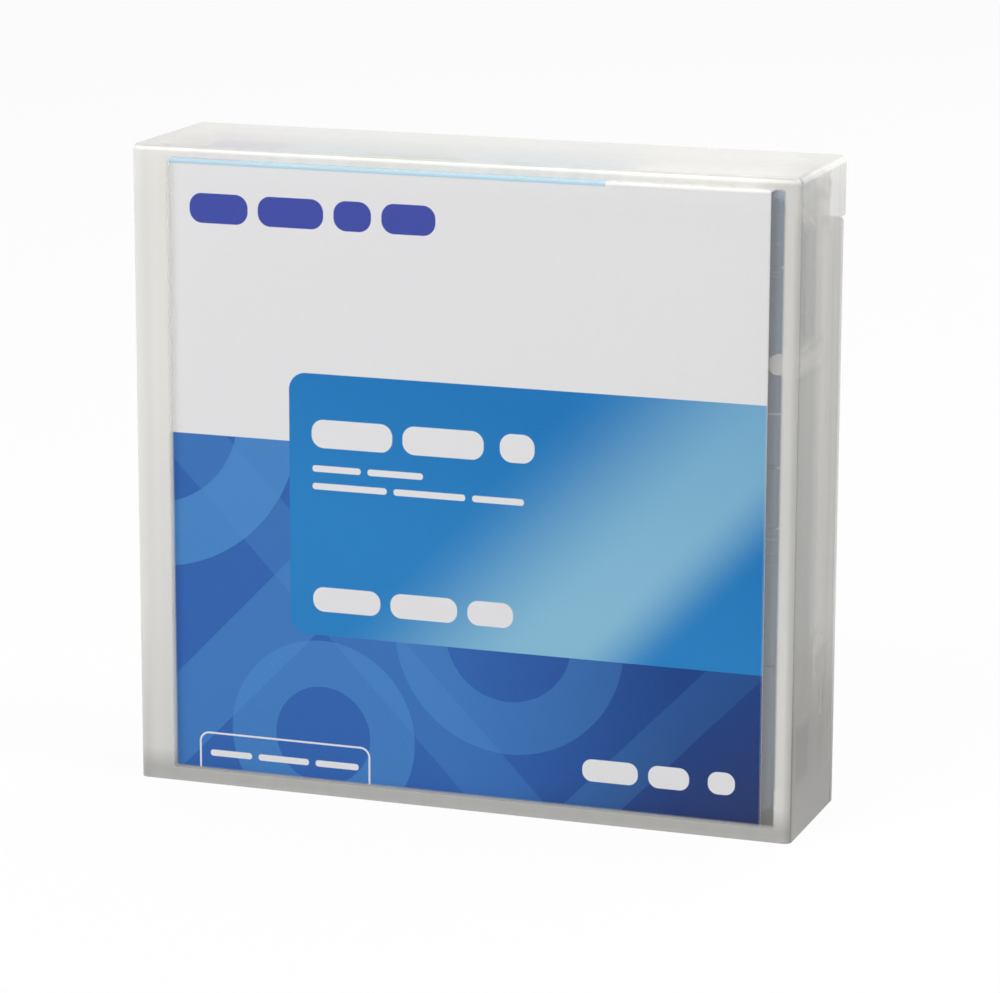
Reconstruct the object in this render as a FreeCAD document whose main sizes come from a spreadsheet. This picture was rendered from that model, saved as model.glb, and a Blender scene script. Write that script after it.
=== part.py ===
import FreeCAD, Part
import math
import os
import Sketcher

# A half-inch data tape cartridge in its hinged library case.
# Row frame in millimetres: X to the right, Y to the back, Z up, origin under the middle of the case.
# The card face of the case looks along -Y, and the folded spine of the card is on top.

doc = FreeCAD.newDocument("data_tape_cartridge")
sheet = doc.addObject("Spreadsheet::Sheet", "sizes")
OVERCUT = 1.0


class Size:
    """A length of the sheet or a formula of lengths: its value now, and its text for setExpression."""

    def __init__(self, value, text):
        self.value = float(value)
        self.text = text

    def __add__(self, other):
        return combine(self, "+", other, lambda a, b: a + b)

    def __sub__(self, other):
        return combine(self, "-", other, lambda a, b: a - b)

    def __mul__(self, other):
        return combine(self, "*", other, lambda a, b: a * b)

    def __truediv__(self, other):
        return combine(self, "/", other, lambda a, b: a / b)

    def __radd__(self, other):
        return as_size(other) + self

    def __rsub__(self, other):
        return as_size(other) - self

    def __rmul__(self, other):
        return as_size(other) * self

    def __neg__(self):
        return as_size(0) - self


def as_size(value):
    return value if isinstance(value, Size) else Size(value, f"({float(value)})")


def combine(first, sign, second, work):
    first, second = as_size(first), as_size(second)
    return Size(work(first.value, second.value), f"({first.text} {sign} {second.text})")


def root(size):
    return Size(math.sqrt(size.value), f"sqrt({size.text})")


def least(first, second):
    return Size(min(first.value, second.value), f"min({first.text}; {second.text})")


def size(alias, value, note):
    """One driving dimension: a row of the sheet with its note, its number and its alias."""
    row = size.rows = getattr(size, "rows", 0) + 1
    sheet.set(f"A{row}", note)
    sheet.set(f"B{row}", str(value))
    sheet.setAlias(f"B{row}", alias)
    return Size(value, f"sizes.{alias}")


def bind(thing, path, value):
    thing.setExpression(path, as_size(value).text)


# ---------------------------------------------------------------- driving dimensions

cart_width = size("cart_width", 105.4, "cartridge, across")
cart_height = size("cart_height", 102.0, "cartridge, front edge to label edge")
cart_thick = size("cart_thick", 21.5, "cartridge, thickness")
cart_shift = size("cart_shift", 1.0, "cartridge, off the middle of the case")
seat_gap = size("seat_gap", 0.3, "clearance where a loose piece sits")

front_wall = size("front_wall", 1.3, "lid wall in front of the card")
end_wall = size("end_wall", 1.4, "lid walls at the two ends")
top_wall = size("top_wall", 1.4, "lid wall over the card's spine")
lip_wall = size("lip_wall", 1.4, "lid lip behind the cartridge")
case_round = size("case_round", 1.2, "radius of the case's outer edges")
plate_wall = size("plate_wall", 2.3, "base plate at the back")
base_wall = size("base_wall", 1.2, "base end walls, inside the lid's")
bottom_wall = size("bottom_wall", 1.6, "base wall under the cartridge")
side_gap = size("side_gap", 0.7, "gap between lid and base end walls")
side_room = size("side_room", 1.5, "room beside the cartridge")
back_room = size("back_room", 0.5, "room between the cartridge and the base plate")
prop_height = size("prop_height", 2.2, "ribs under the cartridge, above the base wall")
seam_gap = size("seam_gap", 0.2, "seam between the lid's rim and the base plate")
swing_gap = size("swing_gap", 0.3, "room round the lid's hinge corner")
pivot_back = size("pivot_back", 4.6, "hinge axis from the back face")
pivot_top = size("pivot_top", 4.9, "hinge axis from the top face")
pin_radius = size("pin_radius", 1.6, "hinge pins of the lid")
pin_fit = size("pin_fit", 0.05, "radial clearance of the hinge pins")
ear_radius = size("ear_radius", 2.9, "round of the base ears about the hinge")
tab_height = size("tab_height", 3.3, "card tab, its width")
tab_middle = size("tab_middle", 78.75, "card tab, height above the ground")
tab_reach = size("tab_reach", 4.2, "card tab, length from the lid's right end wall")
tab_thick = size("tab_thick", 1.0, "card tab, thickness")
tab_room = size("tab_room", 0.25, "cartridge behind the card tab")
rib_height = size("rib_height", 0.5, "low rib on the lid's end walls")
rib_width = size("rib_width", 0.8, "width of that rib")
rib_stop = size("rib_stop", 4.0, "end of that rib from the lid's rim")
catch_height = size("catch_height", 25.0, "closing catch above the ground")
catch_back = size("catch_back", 5.2, "closing catch from the back face")
catch_radius = size("catch_radius", 1.5, "closing bump on the lid")
slot_width = size("slot_width", 0.8, "slot that frees the base's catch tongue")
tongue_tall = size("tongue_tall", 9.2, "catch tongue with its slot, height")
tongue_long = size("tongue_long", 5.1, "catch tongue with its slot, length")

card_thick = size("card_thick", 0.3, "printed card")
card_short = size("card_short", 1.3, "card narrower than the cartridge")
card_lift = size("card_lift", 0.5, "card's lower edge above the base wall")
card_slack = size("card_slack", 0.15, "card behind the front wall")
card_head = size("card_head", 1.1, "card's spine under the lid's top wall")
card_flap = size("card_flap", 5.2, "card's short back flap, length")
card_fold = size("card_fold", 0.6, "outer radius of the card's folds")

shell_face = size("shell_face", 1.8, "cartridge shell, its two faces")
shell_wall = size("shell_wall", 1.6, "cartridge shell, its side walls")
shell_corner = size("shell_corner", 1.8, "cartridge corner radius")
shell_edge = size("shell_edge", 0.6, "bevel of the cartridge's edges")
groove = size("groove", 0.4, "width and depth of the shell's grooves")
groove_long = size("groove_long", 6.0, "length of the shell's grooves")
groove_under = size("groove_under", 3.6, "middle groove below the reel's axis")
groove_over = size("groove_over", 6.4, "middle groove above the reel's axis")
groove_down = size("groove_down", 12.1, "upper groove from the label edge")
hub_opening = size("hub_opening", 19.0, "radius of the opening for the drive's gear")
rim_height = size("rim_height", 0.8, "seat ring round that opening")
rim_width = size("rim_width", 2.0, "width of that seat ring")
boss_radius = size("boss_radius", 2.4, "screw bosses")
boss_inset = size("boss_inset", 5.9, "screw bosses from the outer walls")
door_boss = size("door_boss", 14.2, "the boss beside the door, from the door's wall")
screw_radius = size("screw_radius", 0.9, "screw shank")
screw_fit = size("screw_fit", 0.1, "clearance round the shank and the head")
head_radius = size("head_radius", 1.9, "screw head")
head_height = size("head_height", 1.3, "screw head")
screw_blind = size("screw_blind", 2.25, "screw's end from the upper shell's face")
datum_radius = size("datum_radius", 1.9, "datum recesses in the back face")
datum_deep = size("datum_deep", 1.0, "depth of the datum recesses")

door_low = size("door_low", 2.6, "door opening above the cartridge's edge")
door_tall = size("door_tall", 18.0, "door opening, height")
door_front = size("door_front", 3.2, "door opening from both faces")
door_lap = size("door_lap", 0.7, "door beyond its opening")
door_head = size("door_head", 3.9, "door above its opening")
door_thick = size("door_thick", 1.4, "door")
door_gap = size("door_gap", 0.2, "door behind the shell wall")
door_arm_wide = size("door_arm_wide", 4.0, "door's arm, width")
door_spring_long = size("door_spring_long", 24.4, "door spring at rest")
door_spring_radius = size("door_spring_radius", 1.4, "door spring, mean radius")
door_spring_wire = size("door_spring_wire", 0.4, "door spring, wire")
door_spring_turns = size("door_spring_turns", 6, "door spring, turns")
ledge_thick = size("ledge_thick", 1.2, "ledge that holds the door spring")
ledge_drop = size("ledge_drop", 11.0, "ledge's seat from the label edge")

protect_inset = size("protect_inset", 13.7, "write-protect window from the outer wall")
protect_long = size("protect_long", 12.3, "write-protect window, length")
protect_drop = size("protect_drop", 1.25, "write-protect window from the seam of the shells")
protect_wide = size("protect_wide", 5.5, "write-protect window, width")
knob_long = size("knob_long", 5.8, "write-protect slider, its knob")
knob_gap = size("knob_gap", 0.3, "slider in its window")
flange_over = size("flange_over", 1.3, "slider's flange beyond its knob")
flange_thick = size("flange_thick", 1.1, "slider's flange")

reel_gap = size("reel_gap", 1.2, "upper flange from the upper shell's face")
reel_room = size("reel_room", 0.9, "reel flanges from the walls and the door")
flange_wall = size("flange_wall", 1.2, "reel flanges, thickness")
barrel_radius = size("barrel_radius", 22.0, "reel hub, outside")
barrel_wall = size("barrel_wall", 2.5, "reel hub, wall")
web_thick = size("web_thick", 2.0, "reel hub, its web")
tape_short = size("tape_short", 2.5, "wound tape below the flanges' edge")
tape_thick = size("tape_thick", 0.2, "leader strip")
teeth = size("teeth", 24, "teeth of the drive ring and of the brake")
tooth_angle = size("tooth_angle", 6.5, "angle of one tooth")
drive_gap = size("drive_gap", 0.6, "drive teeth inside the opening")
drive_long = size("drive_long", 3.8, "drive teeth, length")
drive_height = size("drive_height", 1.0, "drive teeth, height")
lock_gap = size("lock_gap", 0.9, "locking teeth inside the hub's wall")
lock_long = size("lock_long", 3.4, "locking teeth, length")
lock_height = size("lock_height", 1.6, "locking teeth, height")
lock_clear = size("lock_clear", 0.4, "tips of the locking teeth from the other disc")
clutch_inner = size("clutch_inner", 4.0, "steel plate, inner radius")
clutch_gap = size("clutch_gap", 1.6, "steel plate inside the drive teeth")
clutch_thick = size("clutch_thick", 0.7, "steel plate")
leg_radius = size("leg_radius", 1.3, "release legs")
leg_fit = size("leg_fit", 0.3, "clearance round the release legs")
pad_rim = size("pad_rim", 0.8, "release pad beyond its legs")
pad_thick = size("pad_thick", 1.2, "release pad")
brake_thick = size("brake_thick", 1.8, "brake disc")
brake_tube = size("brake_tube", 4.8, "brake, its guide tube")
post_radius = size("post_radius", 3.0, "brake post of the upper shell")
post_fit = size("post_fit", 0.4, "brake tube round its post")
post_gap = size("post_gap", 3.3, "end of the brake post from the brake disc")
tube_wall = size("tube_wall", 1.6, "brake tube, wall")
brake_spring_gap = size("brake_spring_gap", 0.85, "brake spring round the guide tube")
brake_spring_wire = size("brake_spring_wire", 0.7, "brake spring, wire")
brake_spring_turns = size("brake_spring_turns", 3, "brake spring, turns")

leader_side = size("leader_side", 7.1, "leader pin from the door's wall")
leader_low = size("leader_low", 10.5, "leader pin above the cartridge's edge")
leader_radius = size("leader_radius", 1.25, "leader pin")
leader_head = size("leader_head", 2.4, "leader pin, its two heads")
leader_room = size("leader_room", 1.2, "leader pin from the shells' faces")
leader_cap = size("leader_cap", 1.3, "leader pin, height of a head")
clip_wall = size("clip_wall", 0.6, "tape clip")
clip_fit = size("clip_fit", 0.15, "tape clip round the pin")
leaf_thick = size("leaf_thick", 0.25, "leaf springs of the pin")
leaf_wide = size("leaf_wide", 2.4, "leaf springs, width")
leaf_long = size("leaf_long", 9.0, "leaf springs, length")
chip_long = size("chip_long", 12.0, "memory chip carrier")
chip_wide = size("chip_wide", 10.0, "memory chip carrier, width")
chip_thick = size("chip_thick", 0.8, "memory chip carrier, thickness")
chip_corner = size("chip_corner", 14.4, "memory chip from the corner, along each wall")

ring_inset = size("ring_inset", 1.5, "hub ring of the base inside the cartridge's opening")
ring_wall = size("ring_wall", 1.5, "hub ring, wall")
ring_gap = size("ring_gap", 0.1, "hub ring from the drive teeth")
foot_height = size("foot_height", 8.3, "base end walls in front of the finger cut")
wall_front = size("wall_front", 11.0, "front edge of the base end walls")
cut_slope = size("cut_slope", 5.5, "finger cut, how far it leans back")
cut_height = size("cut_height", 10.0, "finger cut, height")
hook_front = size("hook_front", 5.6, "front end of the base end walls at the top")
hook_tall = size("hook_tall", 1.3, "height of that end")
hook_drop = size("hook_drop", 4.4, "slope under that end")
hook_over = size("hook_over", 0.9, "base end walls above the hinge axis")
prop_wide = size("prop_wide", 1.2, "ribs under the cartridge")
prop_pitch = size("prop_pitch", 35.0, "spacing of those ribs")
stay_low = size("stay_low", 51.0, "side stay, lower end")
stay_front = size("stay_front", 12.0, "side stay, front edge")

# ---------------------------------------------------------------- derived places

cart_half = cart_width / 2
cart_mid = cart_thick / 2
cart_front = front_wall + card_slack + card_thick + seam_gap + tab_thick + tab_room
cart_low = bottom_wall + prop_height + seat_gap

case_width = cart_width + 2 * (end_wall + side_gap + base_wall + side_room)
case_depth = cart_front + cart_thick + back_room + plate_wall
case_height = cart_low + cart_height + seat_gap + card_thick + card_head + top_wall
half = case_width / 2
inner_half = half - end_wall
base_half = inner_half - side_gap
base_inner = base_half - base_wall


def deep(depth):
    """The Y place of a depth that is counted from the card face."""
    return depth - case_depth / 2


pivot_y = case_depth - pivot_back
pivot_z = case_height - pivot_top
lip_low = pivot_z - pivot_top
rim_depth = case_depth - plate_wall
seam_depth = rim_depth - seam_gap
plate_top = lip_low - swing_gap
inner_top = case_height - top_wall
lip_half = base_inner - (seat_gap + seam_gap)
card_width = cart_width - card_short
card_foot = bottom_wall + card_lift
card_top = inner_top - card_head

shell_deep = cart_thick - shell_face
under_head = cart_thick - head_height - seat_gap / 2
protect_right = cart_half - protect_inset
protect_left = protect_right - protect_long
protect_near = cart_mid + protect_drop
door_outer = cart_half - shell_wall - door_gap
door_top = door_low + door_tall + door_head
door_bottom = door_low - door_lap
door_spring_x = door_outer - door_spring_radius - door_spring_wire / 2
spring_seat = cart_height - ledge_drop
door_arm_top = spring_seat - seat_gap * 2 - door_spring_long

reel_middle = cart_height / 2
reel_z = cart_low + reel_middle
reel_top = shell_face + reel_gap
flange_radius = least(reel_middle - shell_wall, door_outer - door_thick) - reel_room
tape_radius = flange_radius - tape_short
web_back = cart_thick - shell_face - rim_height - seat_gap
barrel_long = web_back - reel_top - flange_wall * 2
tape_wide = barrel_long - seat_gap * 2
web_front = web_back - web_thick
drive_outer = hub_opening - drive_gap
drive_inner = drive_outer - drive_long
lock_outer = barrel_radius - barrel_wall - lock_gap
lock_inner = lock_outer - lock_long
clutch_outer = drive_inner - clutch_gap
leg_circle = (clutch_inner + clutch_outer) / 2
pad_radius = leg_circle + leg_radius + pad_rim
brake_back = web_front - lock_height - lock_clear
brake_front = brake_back - brake_thick
brake_spring_radius = post_radius + post_fit + tube_wall + brake_spring_gap + brake_spring_wire / 2
pad_back = web_front - seat_gap
ring_radius = hub_opening - ring_inset
ring_front = cart_front + web_back + drive_height + ring_gap

leader_x = cart_half - leader_side
leader_front = shell_face + leader_room
leader_back = shell_deep - leader_room

# ---------------------------------------------------------------- building tools

PLANES = {"XY": "XY_Plane", "XZ": "XZ_Plane", "YZ": "YZ_Plane"}


def polygon(points):
    """An outline with straight sides; every corner is held at its own two sizes."""
    points = [(as_size(a), as_size(b)) for a, b in points]

    def draw(sketch):
        first = sketch.GeometryCount
        count = len(points)
        for i in range(count):
            (ax, ay), (bx, by) = points[i], points[(i + 1) % count]
            start = FreeCAD.Vector(ax.value, ay.value, 0)
            sketch.addGeometry(Part.LineSegment(start, FreeCAD.Vector(bx.value, by.value, 0)), False)
        for i in range(count):
            after = first + (i + 1) % count
            sketch.addConstraint(Sketcher.Constraint("Coincident", first + i, 2, after, 1))
        for i, (x, y) in enumerate(points):
            hold(sketch, first + i, 1, x, y)

    return draw


def rectangle(left, right, low, high):
    return polygon([(left, low), (right, low), (right, high), (left, high)])


def circle(radius, x=0, y=0):
    radius, x, y = as_size(radius), as_size(x), as_size(y)

    def draw(sketch):
        middle = FreeCAD.Vector(x.value, y.value, 0)
        item = sketch.addGeometry(Part.Circle(middle, FreeCAD.Vector(0, 0, 1), radius.value), False)
        hold(sketch, item, 3, x, y)
        index = sketch.addConstraint(Sketcher.Constraint("Radius", item, radius.value))
        sketch.setExpression(f"Constraints[{index}]", radius.text)

    return draw


def post(radius, x=0, y=0):
    """A small round outline of twelve flats, for bosses, legs and their holes."""
    corners = []
    for step in range(12):
        turn = math.radians(step * 30)
        corners.append((x + as_size(radius) * math.cos(turn), y + as_size(radius) * math.sin(turn)))
    return polygon(corners)


def hold(sketch, item, point, x, y):
    """Holds one point of a sketch at two sizes from the sketch's origin."""
    for kind, value in (("DistanceX", x), ("DistanceY", y)):
        index = sketch.addConstraint(Sketcher.Constraint(kind, -1, 1, item, point, value.value))
        sketch.setExpression(f"Constraints[{index}]", value.text)


class Piece:
    """One moulded, cut or turned piece: a body whose features are added one after another."""

    def __init__(self, label, place=(0, 0, 0)):
        self.label = label
        self.body = doc.addObject("PartDesign::Body", label)
        self.body.Label = label
        for axis, value in zip("xyz", place):
            bind(self.body, f"Placement.Base.{axis}", value)

    def add(self, kind, name):
        return self.body.newObject(kind, f"{self.label}_{name}")

    def sketch(self, plane, offset, outlines):
        sketch = self.add("Sketcher::SketchObject", "sketch")
        role = PLANES[plane]
        support = [f for f in self.body.Origin.OriginFeatures if f.Role == role][0]
        sketch.AttachmentSupport = [(support, "")]
        sketch.MapMode = "FlatFace"
        bind(sketch, "AttachmentOffset.Base.z", offset)
        for draw in outlines:
            draw(sketch)
        return sketch

    def extrude(self, kind, plane, low, high, outlines):
        low, high = as_size(low), as_size(high)
        sketch = self.sketch(plane, -high if plane == "XZ" else low, outlines)
        feature = self.add(f"PartDesign::{kind}", kind.lower())
        feature.Profile = sketch
        bind(feature, "Length", high - low)
        feature.Reversed = kind == "Pocket"
        sketch.Visibility = False
        return feature

    def pad(self, plane, low, high, *outlines):
        return self.extrude("Pad", plane, low, high, outlines)

    def pocket(self, plane, low, high, *outlines):
        return self.extrude("Pocket", plane, low, high, outlines)

    def around(self, feature, count):
        """Repeats a feature about its own sketch's normal."""
        doc.recompute()
        pattern = self.add("PartDesign::PolarPattern", "ring")
        pattern.Originals = [feature]
        pattern.Axis = (feature.Profile[0], ["N_Axis"])
        pattern.Angle = 360
        bind(pattern, "Occurrences", count)
        self.body.Tip = pattern
        return pattern

    def round(self, radius, test):
        """Rounds the edges whose box passes the test."""
        doc.recompute()
        base = self.body.Tip
        names = [f"Edge{i + 1}" for i, edge in enumerate(base.Shape.Edges) if test(edge.BoundBox)]
        fillet = self.add("PartDesign::Fillet", "round")
        fillet.Base = (base, names)
        bind(fillet, "Radius", radius)
        return fillet

    def bevel(self, width, test):
        """Bevels the edges whose box passes the test."""
        doc.recompute()
        base = self.body.Tip
        names = [f"Edge{i + 1}" for i, edge in enumerate(base.Shape.Edges) if test(edge.BoundBox)]
        chamfer = self.add("PartDesign::Chamfer", "bevel")
        chamfer.Base = (base, names)
        bind(chamfer, "Size", width)
        return chamfer


def near(value, target):
    return abs(value - as_size(target).value) < 1e-4


def flat(low, high, target):
    """True where both ends of an edge lie at one value."""
    return near(low, target) and near(high, target)


def wedge(inner, outer, angle, turn=0):
    """The outline of one radial tooth, as straight-sided as a moulded one."""
    corners = []
    for radius, sign in ((inner, -1), (outer, -1), (outer, 1), (inner, 1)):
        value = math.radians(turn + sign * angle.value / 2)
        text = f"({turn} + {sign} * {angle.text} / 2) * 1deg"
        corners.append((radius * Size(math.cos(value), f"cos({text})"),
                        radius * Size(math.sin(value), f"sin({text})")))
    return polygon(corners)


SIDES = (-1, 1)


def both(inner, outer, side):
    """The low and high X of a stretch that lies on one side of the middle."""
    return (inner, outer) if side > 0 else (-outer, -inner)


# ---------------------------------------------------------------- the case


def make_case_lid():
    lid = Piece("case_lid")
    lid.pad("YZ", -half, half, polygon([
        (deep(0), 0), (deep(seam_depth), 0), (deep(seam_depth), lip_low),
        (deep(case_depth), lip_low), (deep(case_depth), case_height), (deep(0), case_height)]))

    def outer_edge(box):
        on_front = flat(box.YMin, box.YMax, deep(0))
        on_end = flat(box.XMin, box.XMax, half) or flat(box.XMin, box.XMax, -half)
        on_top = flat(box.ZMin, box.ZMax, case_height)
        return (on_front and on_end) or (on_front and on_top) or (on_end and on_top)

    lid.round(case_round, outer_edge)
    lid.pocket("YZ", -inner_half, inner_half, rectangle(
        deep(front_wall), deep(case_depth + OVERCUT), -OVERCUT, inner_top))
    lid.pad("XZ", deep(case_depth - lip_wall), deep(case_depth), rectangle(
        -lip_half, lip_half, lip_low, inner_top + top_wall / 2))
    tab_front = front_wall + card_slack + card_thick + seam_gap
    tab_low = tab_middle - tab_height / 2
    tip = inner_half - tab_reach
    lid.pad("XZ", deep(tab_front), deep(tab_front + tab_thick), rectangle(
        tip, inner_half + end_wall / 2, tab_low, tab_low + tab_height))
    lid.round(tab_height * 0.49, lambda box: box.YLength > 0.5 and flat(box.XMin, box.XMax, tip))
    for side in SIDES:
        low, high = both(inner_half - rib_height, inner_half + end_wall / 2, side)
        lid.pad("XY", tab_middle + tab_height / 2 - rib_width, tab_middle + tab_height / 2, rectangle(
            low, high, deep(front_wall / 2), deep(seam_depth - rib_stop)))
        low, high = both(base_inner - seam_gap, inner_half + end_wall / 2, side)
        lid.pad("YZ", low, high, circle(pin_radius, deep(pivot_y), pivot_z))
        low, high = both(inner_half - rib_height, inner_half + end_wall / 2, side)
        lid.pad("YZ", low, high, circle(catch_radius, deep(case_depth - catch_back), catch_height))
    return lid


def make_case_base():
    base = Piece("case_base")
    base.pad("YZ", -half, half, rectangle(deep(rim_depth), deep(case_depth), 0, plate_top))

    def outer_edge(box):
        on_back = flat(box.YMin, box.YMax, deep(case_depth))
        on_end = flat(box.XMin, box.XMax, half) or flat(box.XMin, box.XMax, -half)
        return on_back and on_end

    base.round(case_round, outer_edge)
    corner = root(pivot_back * pivot_back + pivot_top * pivot_top) + swing_gap * 0.8
    base.pocket("YZ", -half - OVERCUT, half + OVERCUT, circle(corner, deep(pivot_y), pivot_z))
    base.pad("XY", 0, bottom_wall, rectangle(
        -base_half, base_half, deep(front_wall + seat_gap * 2), deep(rim_depth + seam_gap)))
    outline = end_wall_outline(corner)
    bore = pin_radius + pin_fit
    for side in SIDES:
        low, high = both(base_inner, base_half, side)
        base.pad("YZ", low, high, outline)
        base.pad("YZ", low, high, circle(ear_radius, deep(pivot_y), pivot_z))
        base.pocket("YZ", low - OVERCUT / 2, high + OVERCUT / 2, circle(bore, deep(pivot_y), pivot_z))
        base.pocket("YZ", low - OVERCUT / 2, high + OVERCUT / 2, catch_slot())
    for step in (-1, 0, 1):
        middle = cart_shift + prop_pitch * step
        base.pad("YZ", middle - prop_wide / 2, middle + prop_wide / 2, rectangle(
            deep(cart_front), deep(rim_depth + seam_gap), bottom_wall / 2, cart_low - seat_gap))
    base.pad("XZ", deep(ring_front), deep(rim_depth + seam_gap),
             circle(ring_radius, cart_shift, reel_z), circle(ring_radius - ring_wall, cart_shift, reel_z))
    stay_inner = cart_half - cart_shift + seat_gap
    base.pad("YZ", -base_inner - base_wall / 2, -stay_inner, rectangle(
        deep(stay_front), deep(rim_depth + seam_gap), stay_low, plate_top - swing_gap - plate_wall))
    return base


def end_wall_outline(corner):
    """The base's end wall, seen from the side: foot, finger cut, front edge, hook and ear."""
    back = pivot_back - plate_wall
    plate_corner = pivot_z - root(corner * corner - back * back)
    return polygon([
        (deep(front_wall + seat_gap * 2), 0),
        (deep(rim_depth + seam_gap), 0),
        (deep(rim_depth + seam_gap), plate_corner - seam_gap * 2),
        (deep(rim_depth), plate_corner),
        (deep(rim_depth), pivot_z),
        (deep(pivot_y), pivot_z + hook_over),
        (deep(hook_front), pivot_z + hook_over),
        (deep(hook_front), pivot_z + hook_over - hook_tall),
        (deep(wall_front), pivot_z + hook_over - hook_tall - hook_drop),
        (deep(wall_front), foot_height + cut_height),
        (deep(wall_front + cut_slope), foot_height),
        (deep(front_wall + seat_gap * 2), foot_height)])


def catch_slot():
    """The three-sided slot that leaves a springing tongue in the base's end wall."""
    front = case_depth - catch_back - tongue_long / 2
    back = front + tongue_long
    low = catch_height - tongue_tall / 2
    high = low + tongue_tall
    return polygon([
        (deep(back), low), (deep(front), low), (deep(front), high), (deep(back), high),
        (deep(back), high - slot_width), (deep(front + slot_width), high - slot_width),
        (deep(front + slot_width), low + slot_width), (deep(back), low + slot_width)])


def make_insert_card():
    card = Piece("insert_card")
    near_face = front_wall + card_slack
    far_face = cart_front + cart_thick + seat_gap + seam_gap / 4
    card.pad("YZ", -card_width / 2, card_width / 2, polygon([
        (deep(near_face), card_foot), (deep(near_face + card_thick), card_foot),
        (deep(near_face + card_thick), card_top - card_thick),
        (deep(far_face), card_top - card_thick), (deep(far_face), card_top - card_flap),
        (deep(far_face + card_thick), card_top - card_flap), (deep(far_face + card_thick), card_top),
        (deep(near_face), card_top)]))
    card.round(card_fold, lambda box: flat(box.ZMin, box.ZMax, card_top) and box.YLength < 0.01)
    card.round(card_fold - card_thick, lambda box: box.YLength < 0.01 and flat(
        box.ZMin, box.ZMax, card_top - card_thick))
    return card


# ---------------------------------------------------------------- the cartridge's shells

CARTRIDGE = (cart_shift, deep(cart_front), cart_low)
REEL = (cart_shift, deep(cart_front), reel_z)


def boss_places():
    """Screw bosses: three in the corners, and one beside the door, which needs its own corner."""
    side = cart_half - boss_inset
    low = boss_inset - shell_wall / 2
    high = cart_height - boss_inset + shell_wall / 2
    return [(-side, low), (cart_half - door_boss, low), (side, high), (-side, high)]


def make_shell(label, outer, inner, facing):
    """One moulded half: its face, its walls, the door opening and the screw bosses."""
    shell = Piece(label, CARTRIDGE)
    face, split = (outer, inner) if facing < 0 else (inner, outer)
    shell.pad("XZ", face, split, rectangle(-cart_half, cart_half, 0, cart_height))
    shell.round(shell_corner, lambda box: box.YLength > cart_mid.value / 2)
    skin = as_size(outer)
    shell.bevel(shell_edge, lambda box: flat(box.YMin, box.YMax, skin))
    room = cart_half - shell_wall
    low, high = (shell_face, cart_mid + OVERCUT) if facing < 0 else (cart_mid - OVERCUT, shell_deep)
    shell.pocket("XZ", low, high, rectangle(-room, room, shell_wall, cart_height - shell_wall))
    low, high = (shell_face / 2, cart_mid) if facing < 0 else (cart_mid, shell_deep + shell_face / 2)
    for x, z in boss_places():
        shell.pad("XZ", low, high, post(boss_radius, x, z))
    low, high = (door_front, cart_mid + OVERCUT) if facing < 0 else (
        cart_mid - OVERCUT, cart_thick - door_front)
    shell.pocket("YZ", room - OVERCUT / 2, cart_half + OVERCUT, rectangle(
        low, high, door_low, door_low + door_tall))
    return shell


def make_upper_shell():
    shell = make_shell("upper_shell", as_size(0), cart_mid, -1)
    shell.pad("XZ", shell_face / 2, brake_front - post_gap, circle(post_radius, 0, reel_middle))
    shell.pad("XY", spring_seat, spring_seat + ledge_thick, rectangle(
        door_spring_x - door_spring_radius - door_spring_wire, cart_half - shell_wall / 2,
        shell_face / 2, cart_mid))
    thread = screw_radius + screw_fit
    for x, z in boss_places():
        shell.pocket("XZ", shell_face, cart_mid + OVERCUT, post(thread, x, z))
    for level in (door_top, reel_middle - groove_under, reel_middle + groove_over,
                  cart_height - groove_down):
        shell.pocket("XZ", -OVERCUT, groove, rectangle(
            cart_half - groove_long, cart_half + OVERCUT, level, level + groove))
    return shell


def make_lower_shell():
    shell = make_shell("lower_shell", cart_thick, cart_mid, 1)
    shell.pad("XZ", shell_deep - rim_height, shell_deep + shell_face / 2,
              circle(hub_opening + rim_width, 0, reel_middle))
    shell.pocket("XZ", shell_deep - rim_height - OVERCUT, cart_thick + OVERCUT,
                 circle(hub_opening, 0, reel_middle))
    for x, z in boss_places():
        shell.pocket("XZ", cart_mid - OVERCUT, cart_thick + OVERCUT,
                     post(screw_radius + screw_fit, x, z))
        shell.pocket("XZ", cart_thick - head_height - seat_gap, cart_thick + OVERCUT,
                     circle(head_radius + screw_fit, x, z))
    shell.pocket("XY", cart_height - shell_wall - OVERCUT, cart_height + OVERCUT, rectangle(
        protect_left, protect_right, protect_near, protect_near + protect_wide))
    for side in SIDES:
        shell.pocket("XZ", cart_thick - datum_deep, cart_thick + OVERCUT, circle(
            datum_radius, (cart_half - boss_inset * 2) * side, reel_middle))
    return shell


def make_shell_screws():
    screws = []
    for number, (x, z) in enumerate(boss_places()):
        screw = doc.addObject("Part::Fuse", f"screw_{number}")
        start = shell_face + screw_blind
        shank = doc.addObject("Part::Prism", f"shank_{number}")
        shank.Polygon = 12
        bind(shank, "Circumradius", screw_radius)
        stand(shank, start, under_head - start, x, z)
        head = doc.addObject("Part::Cylinder", f"head_{number}")
        bind(head, "Radius", head_radius)
        stand(head, under_head, head_height, x, z)
        screw.Base, screw.Tool = shank, head
        screws.append(screw)
    group = doc.addObject("Part::Compound", "shell_screws")
    group.Links = screws
    place(group, CARTRIDGE)
    return group


def stand(bar, start, length, x, z):
    """Turns a bar along Y and puts it at its place in the cartridge's own frame."""
    bind(bar, "Height", length)
    bar.Placement = FreeCAD.Placement(FreeCAD.Vector(), FreeCAD.Rotation(FreeCAD.Vector(1, 0, 0), -90))
    place(bar, (x, start, z))


def place(thing, where):
    for axis, value in zip("xyz", where):
        bind(thing, f"Placement.Base.{axis}", value)


# ---------------------------------------------------------------- door, leader pin and small pieces


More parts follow.
